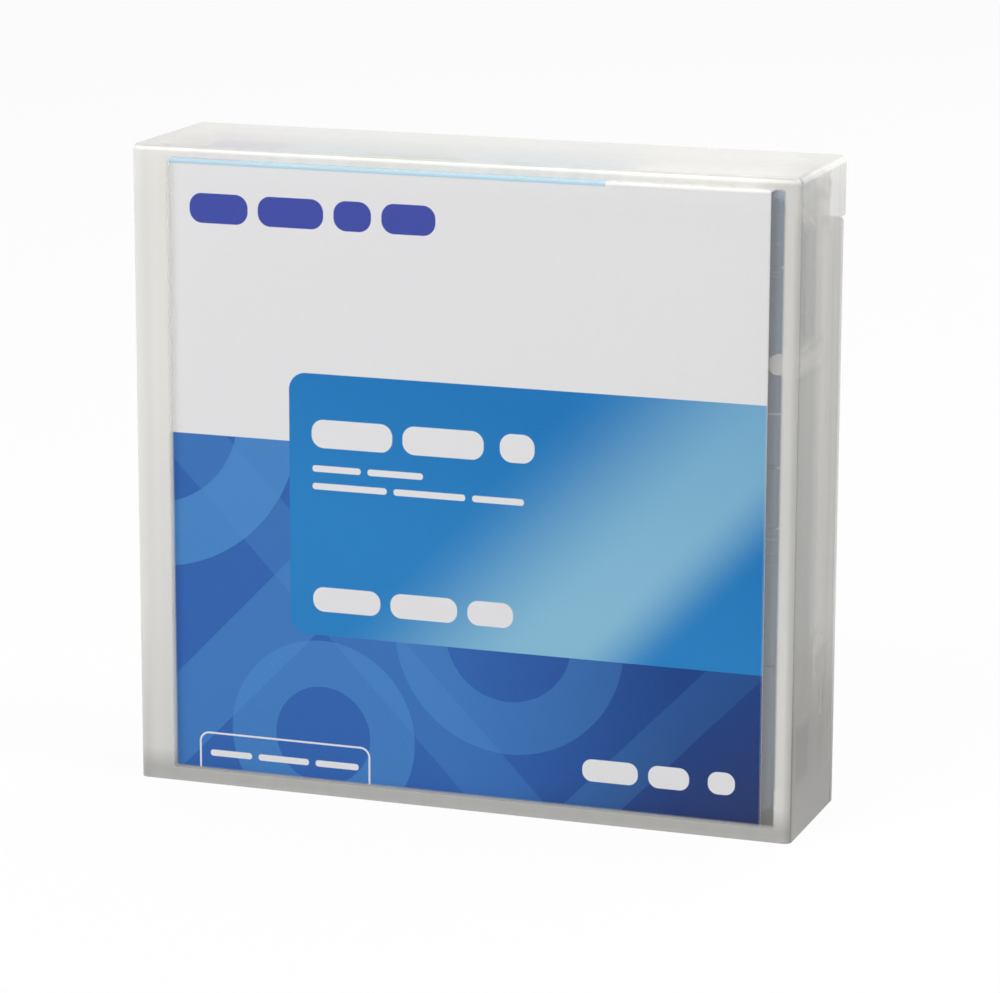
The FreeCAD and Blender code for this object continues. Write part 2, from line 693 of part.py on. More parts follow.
def make_access_door():
    door = Piece("access_door", CARTRIDGE)
    door.pad("YZ", door_outer - door_thick, door_outer, rectangle(
        door_front - door_lap, cart_thick - door_front + door_lap, door_bottom, door_top))
    door.pad("YZ", door_outer - door_thick, door_outer, rectangle(
        cart_mid - door_arm_wide / 2, cart_mid + door_arm_wide / 2, door_top - OVERCUT, door_arm_top))
    grip = door_outer - door_thick / 2
    for step in range(3):
        low = door_low + 2 + step * 2
        door.pocket("YZ", grip + door_thick / 4, door_outer + OVERCUT, rectangle(
            cart_mid - 4, cart_mid + 4, low, low + 0.8))
    return door


def coil(label, radius, wire, turns, length, where, axis, flats):
    """A compression spring of square wire, along Z or along Y, with this many flats to a turn."""
    count = round(turns.value * flats)
    rise = (length.value - wire.value) / count
    side = wire.value / 2
    corners = [(-side, -side), (side, -side), (side, side), (-side, side), (-side, -side)]
    sections = []
    for step in range(count + 1):
        turn = 2 * math.pi * step / flats
        sections.append(Part.makePolygon([FreeCAD.Vector(
            (radius.value + out) * math.cos(turn), (radius.value + out) * math.sin(turn),
            rise * step + up) for out, up in corners]))
    spring = doc.addObject("Part::Feature", label)
    spring.Label = label
    spring.Shape = Part.makeLoft(sections, True, True)
    lie = FreeCAD.Rotation() if axis == "Z" else FreeCAD.Rotation(FreeCAD.Vector(1, 0, 0), -90)
    spring.Placement = FreeCAD.Placement(FreeCAD.Vector(*[as_size(v).value for v in where]), lie)
    return spring


def make_door_spring():
    x, y, z = CARTRIDGE
    low = z + door_arm_top + seat_gap + door_spring_wire / 2
    return coil("door_spring", door_spring_radius, door_spring_wire, door_spring_turns,
                door_spring_long, (x + door_spring_x, y + cart_mid, low), "Z", 10)


def make_write_protect_slider():
    slider = Piece("write_protect_slider", CARTRIDGE)
    right = protect_right - knob_gap
    left = right - knob_long
    near_side = protect_near + knob_gap
    far_side = protect_near + protect_wide - knob_gap
    under = cart_height - shell_wall - knob_gap
    slider.pad("XY", under - flange_thick, under, rectangle(
        left - flange_over, right + flange_over, near_side - knob_gap, far_side + knob_gap))
    slider.pad("XY", under - flange_thick / 2, cart_height - knob_gap, rectangle(
        left, right, near_side, far_side))
    return slider


def make_leader_pin():
    pin = Piece("leader_pin", (CARTRIDGE[0] + leader_x, CARTRIDGE[1], CARTRIDGE[2] + leader_low))
    pin.pad("XZ", leader_front, leader_back, circle(leader_radius))
    pin.pad("XZ", leader_front, leader_front + leader_cap, circle(leader_head))
    pin.pad("XZ", leader_back - leader_cap, leader_back, circle(leader_head))
    return pin


def make_pin_spring(label, wall, facing):
    """A bent steel leaf between a shell's face and the pin's head."""
    leaf = Piece(label, (CARTRIDGE[0] + leader_x, CARTRIDGE[1], CARTRIDGE[2] + leader_low))
    rise = leader_front - seat_gap - leaf_thick - shell_face - seam_gap / 4
    reach = leader_head * 0.6
    start = wall + facing * seam_gap / 4
    points = [(reach - leaf_long, 0, 0), (reach - leaf_long + 3, 0, 0), (-reach, 1, 0), (reach, 1, 0),
              (reach, 1, 1), (-reach, 1, 1), (reach - leaf_long + 3, 0, 1), (reach - leaf_long, 0, 1)]
    leaf.pad("XY", -leaf_wide / 2, leaf_wide / 2, polygon([
        (x, start + (rise * up + leaf_thick * over) * facing) for x, up, over in points]))
    return leaf


def make_tape_clip():
    clip = Piece("tape_clip", (CARTRIDGE[0] + leader_x, CARTRIDGE[1], CARTRIDGE[2] + leader_low))
    inside = leader_radius + clip_fit
    low = leader_front + leader_cap + clip_fit
    high = leader_back - leader_cap - clip_fit
    clip.pad("XZ", low, high, circle(inside + clip_wall), circle(inside))
    clip.pocket("XZ", low - OVERCUT, high + OVERCUT, polygon([
        (0, 0), (-leader_head * 2, -leader_head), (-leader_head * 2, leader_head)]))
    return clip


def make_leader_tape():
    """The strip from the pin's clip to the wound tape, along the tangent of the roll."""
    leader = Piece("leader_tape", CARTRIDGE)
    roll = tape_radius + seat_gap
    ux, uz = leader_x, leader_low - reel_middle
    square = ux * ux + uz * uz
    along = roll * roll / square
    across = roll * root(square - roll * roll) / square
    tx = ux * along + uz * across
    tz = reel_middle + uz * along - ux * across
    length = root(square - roll * roll)
    dx, dz = (leader_x - tx) / length, (leader_low - tz) / length
    stop = length - leader_radius - clip_fit - clip_wall - seat_gap
    low = reel_top + flange_wall + seat_gap
    corners = [(tx, tz), (tx + dx * stop, tz + dz * stop),
               (tx + dx * stop + dz * tape_thick, tz + dz * stop - dx * tape_thick),
               (tx + dz * tape_thick, tz - dx * tape_thick)]
    leader.pad("XZ", low, low + tape_wide, polygon(corners))
    return leader


def make_memory_chip():
    chip = doc.addObject("Part::Box", "memory_chip")
    bind(chip, "Length", chip_long)
    bind(chip, "Width", chip_wide)
    bind(chip, "Height", chip_thick)
    chip.Placement.Rotation = FreeCAD.Rotation(FreeCAD.Vector(0, 1, 0), -45)
    lean = chip_long * (0.5 * math.sqrt(0.5))
    place(chip, (CARTRIDGE[0] - cart_half + chip_corner - lean, CARTRIDGE[1] + shell_face + seat_gap,
                 CARTRIDGE[2] + cart_height - chip_corner - lean))
    return chip


# ---------------------------------------------------------------- the reel and its brake


def make_reel_hub():
    hub = Piece("reel_hub", REEL)
    near_end = reel_top + flange_wall
    hub.pad("XZ", near_end, web_back, circle(barrel_radius), circle(barrel_radius - barrel_wall))
    hub.pad("XZ", near_end + barrel_long, web_back, circle(flange_radius), circle(barrel_radius - barrel_wall))
    hub.pad("XZ", web_front, web_back, circle(barrel_radius - barrel_wall / 2), circle(clutch_inner))
    legs = hub.pocket("XZ", web_front - OVERCUT, web_back + OVERCUT, post(leg_radius + leg_fit, leg_circle, 0))
    hub.around(legs, 3)
    drive = hub.pad("XZ", web_back - web_thick / 2, web_back + drive_height,
                    wedge(drive_inner, drive_outer, tooth_angle))
    hub.around(drive, teeth)
    lock = hub.pad("XZ", web_front - lock_height, web_front + web_thick / 2,
                   wedge(lock_inner, lock_outer, tooth_angle))
    hub.around(lock, teeth)
    return hub


def make_upper_flange():
    flange = Piece("upper_flange", REEL)
    flange.pad("XZ", reel_top, reel_top + flange_wall,
               circle(flange_radius), circle(barrel_radius - barrel_wall))
    return flange


def make_tape_pack():
    pack = Piece("tape_pack", REEL)
    low = reel_top + flange_wall + seat_gap
    pack.pad("XZ", low, low + tape_wide, circle(tape_radius), circle(barrel_radius))
    return pack


def make_clutch_plate():
    plate = Piece("clutch_plate", REEL)
    plate.pad("XZ", web_back, web_back + clutch_thick, circle(clutch_outer), circle(clutch_inner))
    legs = plate.pocket("XZ", web_back - OVERCUT, web_back + clutch_thick + OVERCUT,
                        post(leg_radius + leg_fit, leg_circle, 0))
    plate.around(legs, 3)
    return plate


def make_release_pad():
    pad = Piece("release_pad", REEL)
    pad.pad("XZ", pad_back - pad_thick, pad_back, circle(pad_radius))
    leg = pad.pad("XZ", pad_back - pad_thick / 2, web_back + clutch_thick - seam_gap / 2,
                  post(leg_radius, leg_circle, 0))
    pad.around(leg, 3)
    return pad


def make_reel_brake():
    brake = Piece("reel_brake", REEL)
    brake.pad("XZ", brake_front, brake_back, circle(lock_outer))
    bore = post_radius + post_fit
    brake.pad("XZ", brake_front - brake_tube, brake_front + brake_thick / 2,
              circle(bore + tube_wall), circle(bore))
    nose = pad_back - pad_thick - seat_gap
    brake.pad("XZ", brake_back - brake_thick / 2, nose, circle(clutch_inner))
    pitch_half = 180 / teeth.value
    tooth = brake.pad("XZ", brake_back - brake_thick / 2, brake_back + lock_height,
                      wedge(lock_inner, lock_outer, tooth_angle, pitch_half))
    brake.around(tooth, teeth)
    return brake


def make_brake_spring():
    x, y, z = REEL
    low = y + shell_face + seat_gap + brake_spring_wire / 2
    length = brake_front - shell_face - seat_gap * 2
    return coil("brake_spring", brake_spring_radius, brake_spring_wire, brake_spring_turns,
                length, (x, low, z), "Y", 16)


# ---------------------------------------------------------------- build and write

PIECES = [
    make_case_lid(), make_case_base(), make_insert_card(), make_upper_shell(), make_lower_shell(),
    make_shell_screws(), make_access_door(), make_door_spring(), make_write_protect_slider(),
    make_leader_pin(), make_pin_spring("pin_spring_upper", shell_face, 1),
    make_pin_spring("pin_spring_lower", shell_deep, -1), make_tape_clip(), make_leader_tape(),
    make_memory_chip(), make_reel_hub(), make_upper_flange(), make_tape_pack(), make_clutch_plate(),
    make_release_pad(), make_reel_brake(), make_brake_spring()]

doc.recompute()
for thing in doc.Objects:
    if "Invalid" in thing.State or "Error" in thing.State:
        raise RuntimeError(f"{thing.Name} failed: {thing.State}")

os.makedirs("parts", exist_ok=True)
for piece in PIECES:
    thing = piece.body if isinstance(piece, Piece) else piece
    shape = thing.Shape
    if shape.isNull() or not shape.isValid() or not shape.Solids:
        raise RuntimeError(f"{thing.Label} has no valid solid")
    box = shape.BoundBox
    print(f"{thing.Label:22s} solids {len(shape.Solids)} volume {shape.Volume:10.1f} "
          f"x {box.XMin:7.2f}..{box.XMax:7.2f} y {box.YMin:7.2f}..{box.YMax:7.2f} "
          f"z {box.ZMin:7.2f}..{box.ZMax:7.2f}")
    shape.exportStep(f"parts/{thing.Label}.step")
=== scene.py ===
import math

import bpy
from mathutils import Matrix, Vector


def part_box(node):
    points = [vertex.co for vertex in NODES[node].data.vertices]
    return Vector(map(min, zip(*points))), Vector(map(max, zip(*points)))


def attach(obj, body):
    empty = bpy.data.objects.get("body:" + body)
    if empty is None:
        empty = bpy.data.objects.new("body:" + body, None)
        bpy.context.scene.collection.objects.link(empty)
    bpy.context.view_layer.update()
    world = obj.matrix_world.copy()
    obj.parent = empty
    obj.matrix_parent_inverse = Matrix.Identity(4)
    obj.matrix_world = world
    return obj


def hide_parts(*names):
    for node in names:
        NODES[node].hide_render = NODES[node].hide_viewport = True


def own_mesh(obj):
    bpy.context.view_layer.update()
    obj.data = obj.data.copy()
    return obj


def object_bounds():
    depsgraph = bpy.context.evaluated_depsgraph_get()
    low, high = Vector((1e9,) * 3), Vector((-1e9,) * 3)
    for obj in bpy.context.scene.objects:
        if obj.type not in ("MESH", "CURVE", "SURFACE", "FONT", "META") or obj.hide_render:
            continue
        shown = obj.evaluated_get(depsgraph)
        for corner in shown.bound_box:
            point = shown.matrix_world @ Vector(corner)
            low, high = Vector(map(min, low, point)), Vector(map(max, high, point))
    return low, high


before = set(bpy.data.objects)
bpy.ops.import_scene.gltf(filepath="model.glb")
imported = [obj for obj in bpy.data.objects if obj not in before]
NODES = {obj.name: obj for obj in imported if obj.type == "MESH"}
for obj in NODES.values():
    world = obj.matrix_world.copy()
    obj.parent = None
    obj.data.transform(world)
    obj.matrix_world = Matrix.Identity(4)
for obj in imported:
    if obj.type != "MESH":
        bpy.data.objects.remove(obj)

bl_info = {
    "name": "Data tape cartridge",
    "version": (1, 0, 0),
    "blender": (4, 5, 0),
    "location": "View3D > Sidebar > Tape",
    "description": "Finishes and fine parts of a data tape cartridge in its hinged case",
    "category": "Object",
}

LOW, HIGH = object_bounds()
SIZE = HIGH - LOW
MIDDLE = (LOW + HIGH) / 2

# ------------------------------------------------------------------ settings


def length(name, description, default):
    return bpy.props.FloatProperty(name=name, description=description, default=default,
                                   unit="LENGTH", subtype="DISTANCE", precision=5)


def share(name, description, default):
    return bpy.props.FloatProperty(name=name, description=description, default=default,
                                   min=0, max=1, subtype="FACTOR")


def linear(red, green, blue):
    """A colour written in 0 to 255 as the scene's own linear values."""
    def one(value):
        value /= 255
        return value / 12.92 if value <= 0.04045 else ((value + 0.055) / 1.055) ** 2.4
    return one(red), one(green), one(blue)


def toned(base, share):
    """The colour at this share of its strength."""
    return tuple(value * share for value in base)


def paler(base, share):
    """The colour, moved this share of the way to white."""
    return tuple(value + (1 - value) * share for value in base)


def colour(name, description, *levels):
    return bpy.props.FloatVectorProperty(name=name, description=description, subtype="COLOR", size=3,
                                         default=linear(*levels), min=0, max=1)


class TapeCaseSettings(bpy.types.PropertyGroup):
    plastic: colour("Plastic", "Milky polypropylene of the lid and the base", 246, 245, 241)
    density: share("Density", "How much of each frosted wall is milky, the rest being see-through", 0.42)
    margin: share("Margin", "The same beside the window and near the foot", 0.9)
    clearness: share("Clearness", "How much light the milky part scatters onwards", 0.2)
    veil: share("Veil", "Milky haze of the polished window over the card", 0.004)
    strip_veil: share("Strip veil", "Milky haze beside the card's right edge", 0.16)
    front_wall: length("Front wall", "Thickness of the wall over the card", 0.0013)
    window_left: length("Window left", "Left edge of the polished window from the case's left end", 0.0063)
    window_right: length("Window right", "Right edge of that window from the case's left end", 0.1123)
    window_low: length("Window low", "Lower edge of the polished window", 0.0024)
    window_high: length("Window high", "Upper edge of the polished window", 0.1071)


class TapeCardSettings(bpy.types.PropertyGroup):
    paper: colour("Paper", "Unprinted card", 240, 240, 242)
    panel: colour("Panel", "Light field behind the title", 38, 134, 205)
    panel_light: colour("Panel light", "The soft beam across that field", 142, 198, 226)
    panel_deep: colour("Panel deep", "Deeper corner of that field", 24, 124, 196)
    field: colour("Field", "Deep field across the card's foot", 50, 104, 184)
    field_deep: colour("Field deep", "Right end of the deep field", 24, 68, 140)
    field_dark: colour("Field dark", "Darkest corner of the deep field", 42, 57, 108)
    motif: colour("Motif", "Shapes printed over the deep field", 80, 148, 214)
    title: colour("Title", "Bars that stand where a title would be", 66, 80, 172)


class TapeCartridgeSettings(bpy.types.PropertyGroup):
    shell: colour("Shell", "Slate plastic of the two halves", 104, 126, 152)
    door: colour("Door", "Access door", 84, 92, 100)
    slider: colour("Slider", "Write-protect slider", 186, 44, 38)
    film: colour("Film", "Wound tape", 58, 44, 38)


class TapeStageSettings(bpy.types.PropertyGroup):
    lens: bpy.props.FloatProperty(name="Lens", description="Focal length on a 36 mm wide sensor",
                                  default=151.37, unit="CAMERA")
    backdrop: colour("Backdrop", "Floor and background", 255, 255, 255)


# ------------------------------------------------------------------ nodes of a material


def feed(tree, socket, value):
    """Links a socket to another one, or sets its plain value."""
    if isinstance(value, bpy.types.NodeSocket):
        tree.links.new(value, socket)
    elif socket.type == "RGBA" and len(value) == 3:
        socket.default_value = (*value, 1)
    else:
        socket.default_value = value


def put(tree, kind, inputs=None, **settings):
    """A new node with its settings and its inputs, which are values or sockets."""
    node = tree.nodes.new(kind)
    for name, value in settings.items():
        setattr(node, name, value)
    for name, value in (inputs or {}).items():
        feed(tree, node.inputs[name], value)
    return node


def calc(tree, operation, *values):
    """The result of a Math node."""
    node = put(tree, "ShaderNodeMath", operation=operation)
    for socket, value in zip(node.inputs, values):
        feed(tree, socket, value)
    return node.outputs[0]


def blend(tree, factor, first, second):
    """The first colour where the factor is nought, the second where it is one."""
    node = put(tree, "ShaderNodeMix", data_type="RGBA", blend_type="MIX")
    feed(tree, node.inputs[0], factor)
    feed(tree, node.inputs[6], first)
    feed(tree, node.inputs[7], second)
    return node.outputs[2]


def ramp(tree, value, low, high, start=0.0, end=1.0):
    """Runs from start to end as the value runs from low to high, and stays there beyond."""
    node = put(tree, "ShaderNodeMapRange", clamp=True)
    for socket, item in zip(node.inputs, (value, low, high, start, end)):
        feed(tree, socket, item)
    return node.outputs[0]


def open_group(name, inputs, outputs):
    """A shader group with its sockets made, and its input and output nodes."""
    tree = bpy.data.node_groups.new(name, "ShaderNodeTree")
    for label, kind, value in inputs:
        socket = tree.interface.new_socket(label, in_out="INPUT", socket_type=kind)
        if value is not None:
            socket.default_value = value
    for label, kind in outputs:
        tree.interface.new_socket(label, in_out="OUTPUT", socket_type=kind)
    return tree, tree.nodes.new("NodeGroupInput").outputs, tree.nodes.new("NodeGroupOutput").inputs


def use_group(tree, group, **inputs):
    """A shader group's node, its inputs given by their labels in small letters."""
    node = put(tree, "ShaderNodeGroup", node_tree=bpy.data.node_groups[group])
    for name, value in inputs.items():
        feed(tree, node.inputs[name.replace("_", " ").capitalize()], value)
    return node


FLOAT, VECTOR = "NodeSocketFloat", "NodeSocketVector"


def make_groups():
    make_moulded_grain()
    make_flow_marks()
    make_round_marks()
    make_scuffs()
    make_brushed_marks()
    make_rounded_field()
    make_ring_field()
    make_slanted_field()


def make_moulded_grain():
    """Fine spark texture with slow tone changes, as a mould leaves them."""
    tree, given, result = open_group("Moulded grain", [
        ("Place", VECTOR, None), ("Grain", FLOAT, 9000.0), ("Cloud", FLOAT, 60.0)],
        [("Height", FLOAT), ("Tone", FLOAT)])
    fine = put(tree, "ShaderNodeTexNoise", {"Vector": given["Place"], "Scale": given["Grain"],
                                            "Detail": 2.0, "Roughness": 0.6})
    slow = put(tree, "ShaderNodeTexNoise", {"Vector": given["Place"], "Scale": given["Cloud"],
                                            "Detail": 3.0, "Roughness": 0.5})
    tree.links.new(fine.outputs["Fac"], result["Height"])
    tree.links.new(ramp(tree, slow.outputs["Fac"], 0.3, 0.7), result["Tone"])


def make_flow_marks():
    """Faint upright streaks that molten plastic leaves as it fills a thin wall."""
    tree, given, result = open_group("Flow marks", [
        ("Place", VECTOR, None), ("Across", FLOAT, 420.0), ("Along", FLOAT, 9.0)], [("Tone", FLOAT)])
    spread = put(tree, "ShaderNodeCombineXYZ", {0: given["Across"], 1: given["Across"], 2: given["Along"]})
    stretched = put(tree, "ShaderNodeVectorMath", {0: given["Place"], 1: spread.outputs[0]},
                    operation="MULTIPLY")
    streaks = put(tree, "ShaderNodeTexNoise", {"Vector": stretched.outputs[0], "Scale": 1.0,
                                               "Detail": 1.0, "Roughness": 0.5})
    tree.links.new(ramp(tree, streaks.outputs["Fac"], 0.3, 0.7), result["Tone"])


def away_from(tree, place, given):
    """Distance in the XZ plane from the point that a group's Across and Up inputs give."""
    x = calc(tree, "SUBTRACT", place[0], given["Across"])
    z = calc(tree, "SUBTRACT", place[2], given["Up"])
    return calc(tree, "SQRT", calc(tree, "ADD", calc(tree, "MULTIPLY", x, x), calc(tree, "MULTIPLY", z, z)))


def make_round_marks():
    """Fine rings about an axis through the reel, as wound film and turned steel have."""
    tree, given, result = open_group("Round marks", [
        ("Place", VECTOR, None), ("Across", FLOAT, 0.0), ("Up", FLOAT, 0.0), ("Rings", FLOAT, 12000.0)],
        [("Height", FLOAT), ("Tone", FLOAT)])
    away = away_from(tree, apart(tree, given["Place"]), given)
    line = put(tree, "ShaderNodeCombineXYZ", {0: calc(tree, "MULTIPLY", away, given["Rings"])})
    fine = put(tree, "ShaderNodeTexNoise", {"Vector": line.outputs[0], "Scale": 1.0, "Detail": 2.0})
    broad = put(tree, "ShaderNodeTexNoise", {"Vector": line.outputs[0], "Scale": 0.06, "Detail": 1.0})
    tree.links.new(fine.outputs["Fac"], result["Height"])
    tree.links.new(ramp(tree, broad.outputs["Fac"], 0.35, 0.65), result["Tone"])


def make_scuffs():
    """Sparse pale rubs, longer across than up, where a smooth face has slid in and out."""
    tree, given, result = open_group("Scuffs", [("Place", VECTOR, None), ("Cover", FLOAT, 0.3)],
                                     [("Mask", FLOAT)])
    stretched = put(tree, "ShaderNodeMapping", {"Vector": given["Place"], "Rotation": (0.3, 0.2, 0.5),
                                                "Scale": (60.0, 900.0, 2600.0)})
    rubs = put(tree, "ShaderNodeTexNoise", {"Vector": stretched.outputs[0], "Scale": 1.0, "Detail": 3.0})
    where = put(tree, "ShaderNodeTexNoise", {"Vector": given["Place"], "Scale": 70.0, "Detail": 1.0})
    lines = ramp(tree, rubs.outputs["Fac"], 0.60, 0.72)
    spread = ramp(tree, where.outputs["Fac"], 0.42, 0.62)
    tree.links.new(calc(tree, "MULTIPLY", calc(tree, "MULTIPLY", lines, spread), given["Cover"]),
                   result["Mask"])


def make_brushed_marks():
    """Long fine marks along one direction, for rolled and turned metal."""
    tree, given, result = open_group("Brushed marks", [
        ("Place", VECTOR, None), ("Along", VECTOR, (200.0, 9000.0, 9000.0))], [("Height", FLOAT)])
    stretched = put(tree, "ShaderNodeVectorMath", {0: given["Place"], 1: given["Along"]},
                    operation="MULTIPLY")
    marks = put(tree, "ShaderNodeTexNoise", {"Vector": stretched.outputs[0], "Scale": 1.0, "Detail": 3.0})
    tree.links.new(marks.outputs["Fac"], result["Height"])


def apart(tree, vector):
    """The X, Y and Z of a vector."""
    return put(tree, "ShaderNodeSeparateXYZ", {0: vector}).outputs


def edge_mask(tree, distance, softness):
    """One inside an edge and nought outside it, from the signed distance to it."""
    return ramp(tree, distance, calc(tree, "MULTIPLY", softness, -1.0), softness, 1.0, 0.0)


def make_rounded_field():
    """One inside a rectangle with round corners on the card, in millimetres."""
    tree, given, result = open_group("Rounded field", [
        ("Place", VECTOR, None), ("Left", FLOAT, 0.0), ("Right", FLOAT, 1.0), ("Low", FLOAT, 0.0),
        ("High", FLOAT, 1.0), ("Corner", FLOAT, 0.5), ("Softness", FLOAT, 0.05)], [("Mask", FLOAT)])
    place = apart(tree, given["Place"])
    beyond = []
    for axis, low, high in ((0, "Left", "Right"), (2, "Low", "High")):
        middle = calc(tree, "MULTIPLY", calc(tree, "ADD", given[low], given[high]), 0.5)
        reach = calc(tree, "MULTIPLY", calc(tree, "SUBTRACT", given[high], given[low]), 0.5)
        away = calc(tree, "ABSOLUTE", calc(tree, "SUBTRACT", place[axis], middle))
        beyond.append(calc(tree, "ADD", calc(tree, "SUBTRACT", away, reach), given["Corner"]))
    out_x, out_z = (calc(tree, "MAXIMUM", value, 0.0) for value in beyond)
    round_part = calc(tree, "SQRT", calc(tree, "ADD", calc(tree, "MULTIPLY", out_x, out_x),
                                         calc(tree, "MULTIPLY", out_z, out_z)))
    inner = calc(tree, "MINIMUM", calc(tree, "MAXIMUM", *beyond), 0.0)
    distance = calc(tree, "SUBTRACT", calc(tree, "ADD", round_part, inner), given["Corner"])
    tree.links.new(edge_mask(tree, distance, given["Softness"]), result["Mask"])


def make_ring_field():
    """One on a ring about a point of the card; a disc has an inner radius below nought."""
    tree, given, result = open_group("Ring field", [
        ("Place", VECTOR, None), ("Across", FLOAT, 0.0), ("Up", FLOAT, 0.0), ("Inner", FLOAT, 1.0),
        ("Outer", FLOAT, 2.0), ("Softness", FLOAT, 0.05)], [("Mask", FLOAT)])
    away = away_from(tree, apart(tree, given["Place"]), given)
    distance = calc(tree, "MAXIMUM", calc(tree, "SUBTRACT", away, given["Outer"]),
                    calc(tree, "SUBTRACT", given["Inner"], away))
    tree.links.new(edge_mask(tree, distance, given["Softness"]), result["Mask"])


def make_slanted_field():
    """One on a straight band through a point of the card, at an angle."""
    tree, given, result = open_group("Slanted field", [
        ("Place", VECTOR, None), ("Across", FLOAT, 0.0), ("Up", FLOAT, 0.0), ("Angle", FLOAT, 0.0),
        ("Reach", FLOAT, 2.0), ("Softness", FLOAT, 0.05)], [("Mask", FLOAT)])
    place = apart(tree, given["Place"])
    x = calc(tree, "SUBTRACT", place[0], given["Across"])
    z = calc(tree, "SUBTRACT", place[2], given["Up"])
    side = calc(tree, "SUBTRACT", calc(tree, "MULTIPLY", z, calc(tree, "COSINE", given["Angle"])),
                calc(tree, "MULTIPLY", x, calc(tree, "SINE", given["Angle"])))
    distance = calc(tree, "SUBTRACT", calc(tree, "ABSOLUTE", side), given["Reach"])
    tree.links.new(edge_mask(tree, distance, given["Softness"]), result["Mask"])


def new_material(name, **constants):
    """A Principled material with its plain socket values set."""
    material = bpy.data.materials.new(name)
    material.use_nodes = True
    tree = material.node_tree
    shader = tree.nodes["Principled BSDF"]
    for label, value in constants.items():
        feed(tree, shader.inputs[label.replace("_", " ")], value)
    return material, tree, shader.inputs


def add_bump(tree, inputs, height, depth, strength):
    bump = put(tree, "ShaderNodeBump", {"Height": height, "Distance": depth, "Strength": strength})
    feed(tree, inputs["Normal"], bump.outputs[0])


def object_place(tree):
    return put(tree, "ShaderNodeTexCoord").outputs["Object"]


def card_millimetres(tree, place):
    """The place in millimetres from the case's left end, card face and foot."""
    return put(tree, "ShaderNodeMapping", {"Vector": place, "Location": tuple(-1000 * v for v in LOW),
                                           "Scale": (1000, 1000, 1000)}).outputs[0]


# Lips of the shells' grooves, in millimetres: heights above the cartridge's foot, reach from its right wall
# and width.
GROOVE_LEVELS = (66.2, 47.4, 57.4, 89.9)
GROOVE_LONG, LIP_WIDE = 6.0, 0.34


def finish_plastic(tree, inputs, place, tone, height, rough, depth):
    """Uneven sheen, pale rubs and a fine grain on moulded plastic whose colour is already set."""
    rubs = use_group(tree, "Scuffs", place=place).outputs[0]
    sheen = calc(tree, "ADD", ramp(tree, tone, 0.0, 1.0, *rough), calc(tree, "MULTIPLY", rubs, 0.3))
    feed(tree, inputs["Roughness"], sheen)
    add_bump(tree, inputs, height, depth, 0.5)
    return rubs


def grained(name, base, rough, depth=0.00002):
    """Moulded plastic: slow tone changes, an uneven sheen, pale rubs and a fine grain."""
    material, tree, inputs = new_material(name)
    place = object_place(tree)
    given = use_group(tree, "Moulded grain", place=place)
    tone, height = given.outputs["Tone"], given.outputs["Height"]
    rubs = finish_plastic(tree, inputs, place, tone, height, rough, depth)
    surface = blend(tree, tone, toned(base, 0.88), tuple(base))
    feed(tree, inputs["Base Color"], blend(tree, rubs, surface, paler(base, 0.25)))
    return material


def shell_material(name, settings):
    """Slate plastic, its grooves' lips worn pale at the edge that is gripped."""
    material, tree, inputs = new_material(name)
    raw = object_place(tree)
    place = card_millimetres(tree, raw)
    given = use_group(tree, "Moulded grain", place=raw, grain=7000.0, cloud=90.0)
    tone, height = given.outputs["Tone"], given.outputs["Height"]
    base = tuple(settings.shell)
    surface = blend(tree, tone, toned(base, 0.86), base)
    low, high = ((v - LOW) * 1000 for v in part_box("upper_shell"))
    lips = [use_group(tree, "Rounded field", place=place, left=high.x - GROOVE_LONG, right=high.x + 2,
                      low=low.z + level, high=low.z + level + LIP_WIDE, corner=0.1).outputs[0]
            for level in GROOVE_LEVELS]
    near_front = ramp(tree, apart(tree, place)[1], low.y + 1.5, low.y + 2.0, 0.8, 0.0)
    lips = calc(tree, "MULTIPLY", together(tree, lips), near_front)
    rubs = finish_plastic(tree, inputs, raw, tone, height, (0.42, 0.55), 0.00003)
    worn = calc(tree, "MAXIMUM", rubs, lips)
    feed(tree, inputs["Base Color"], blend(tree, worn, surface, paler(base, 0.3)))
    return material


def rings_about(tree, node, rings):
    low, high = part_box(node)
    return use_group(tree, "Round marks", place=object_place(tree), across=(low.x + high.x) / 2,
                     up=(low.z + high.z) / 2, rings=rings).outputs


def wound_material(name, settings):
    """Tape wound edge to edge: fine rings, with slow bands where the winding stood proud."""
    material, tree, inputs = new_material(name, Coat_Weight=0.3, Coat_Roughness=0.2)
    rings = rings_about(tree, "tape_pack", 14000.0)
    base = tuple(settings.film)
    feed(tree, inputs["Base Color"], blend(tree, rings["Tone"], base, toned(base, 1.7)))
    feed(tree, inputs["Roughness"], ramp(tree, rings["Height"], 0.2, 0.8, 0.22, 0.4))
    add_bump(tree, inputs, rings["Height"], 0.00003, 0.5)
    return material


def turned_metal(name, node, base, rough=(0.2, 0.35)):
    """Bright metal with fine rings about the middle of a node."""
    material, tree, inputs = new_material(name, Metallic=1.0)
    rings = rings_about(tree, node, 9000.0)
    feed(tree, inputs["Base Color"], blend(tree, rings["Tone"], toned(base, 0.82), base))
    feed(tree, inputs["Roughness"], ramp(tree, rings["Height"], 0.3, 0.7, *rough))
    add_bump(tree, inputs, rings["Height"], 0.00001, 0.4)
    return material


# Half widths, in millimetres, of the nested squares on the memory board: an outer and an inner square for
# each of three copper loops, and the chip.
BOARD_SQUARES = (4.1, 3.75, 3.4, 3.05, 2.7, 2.35, 1.2)


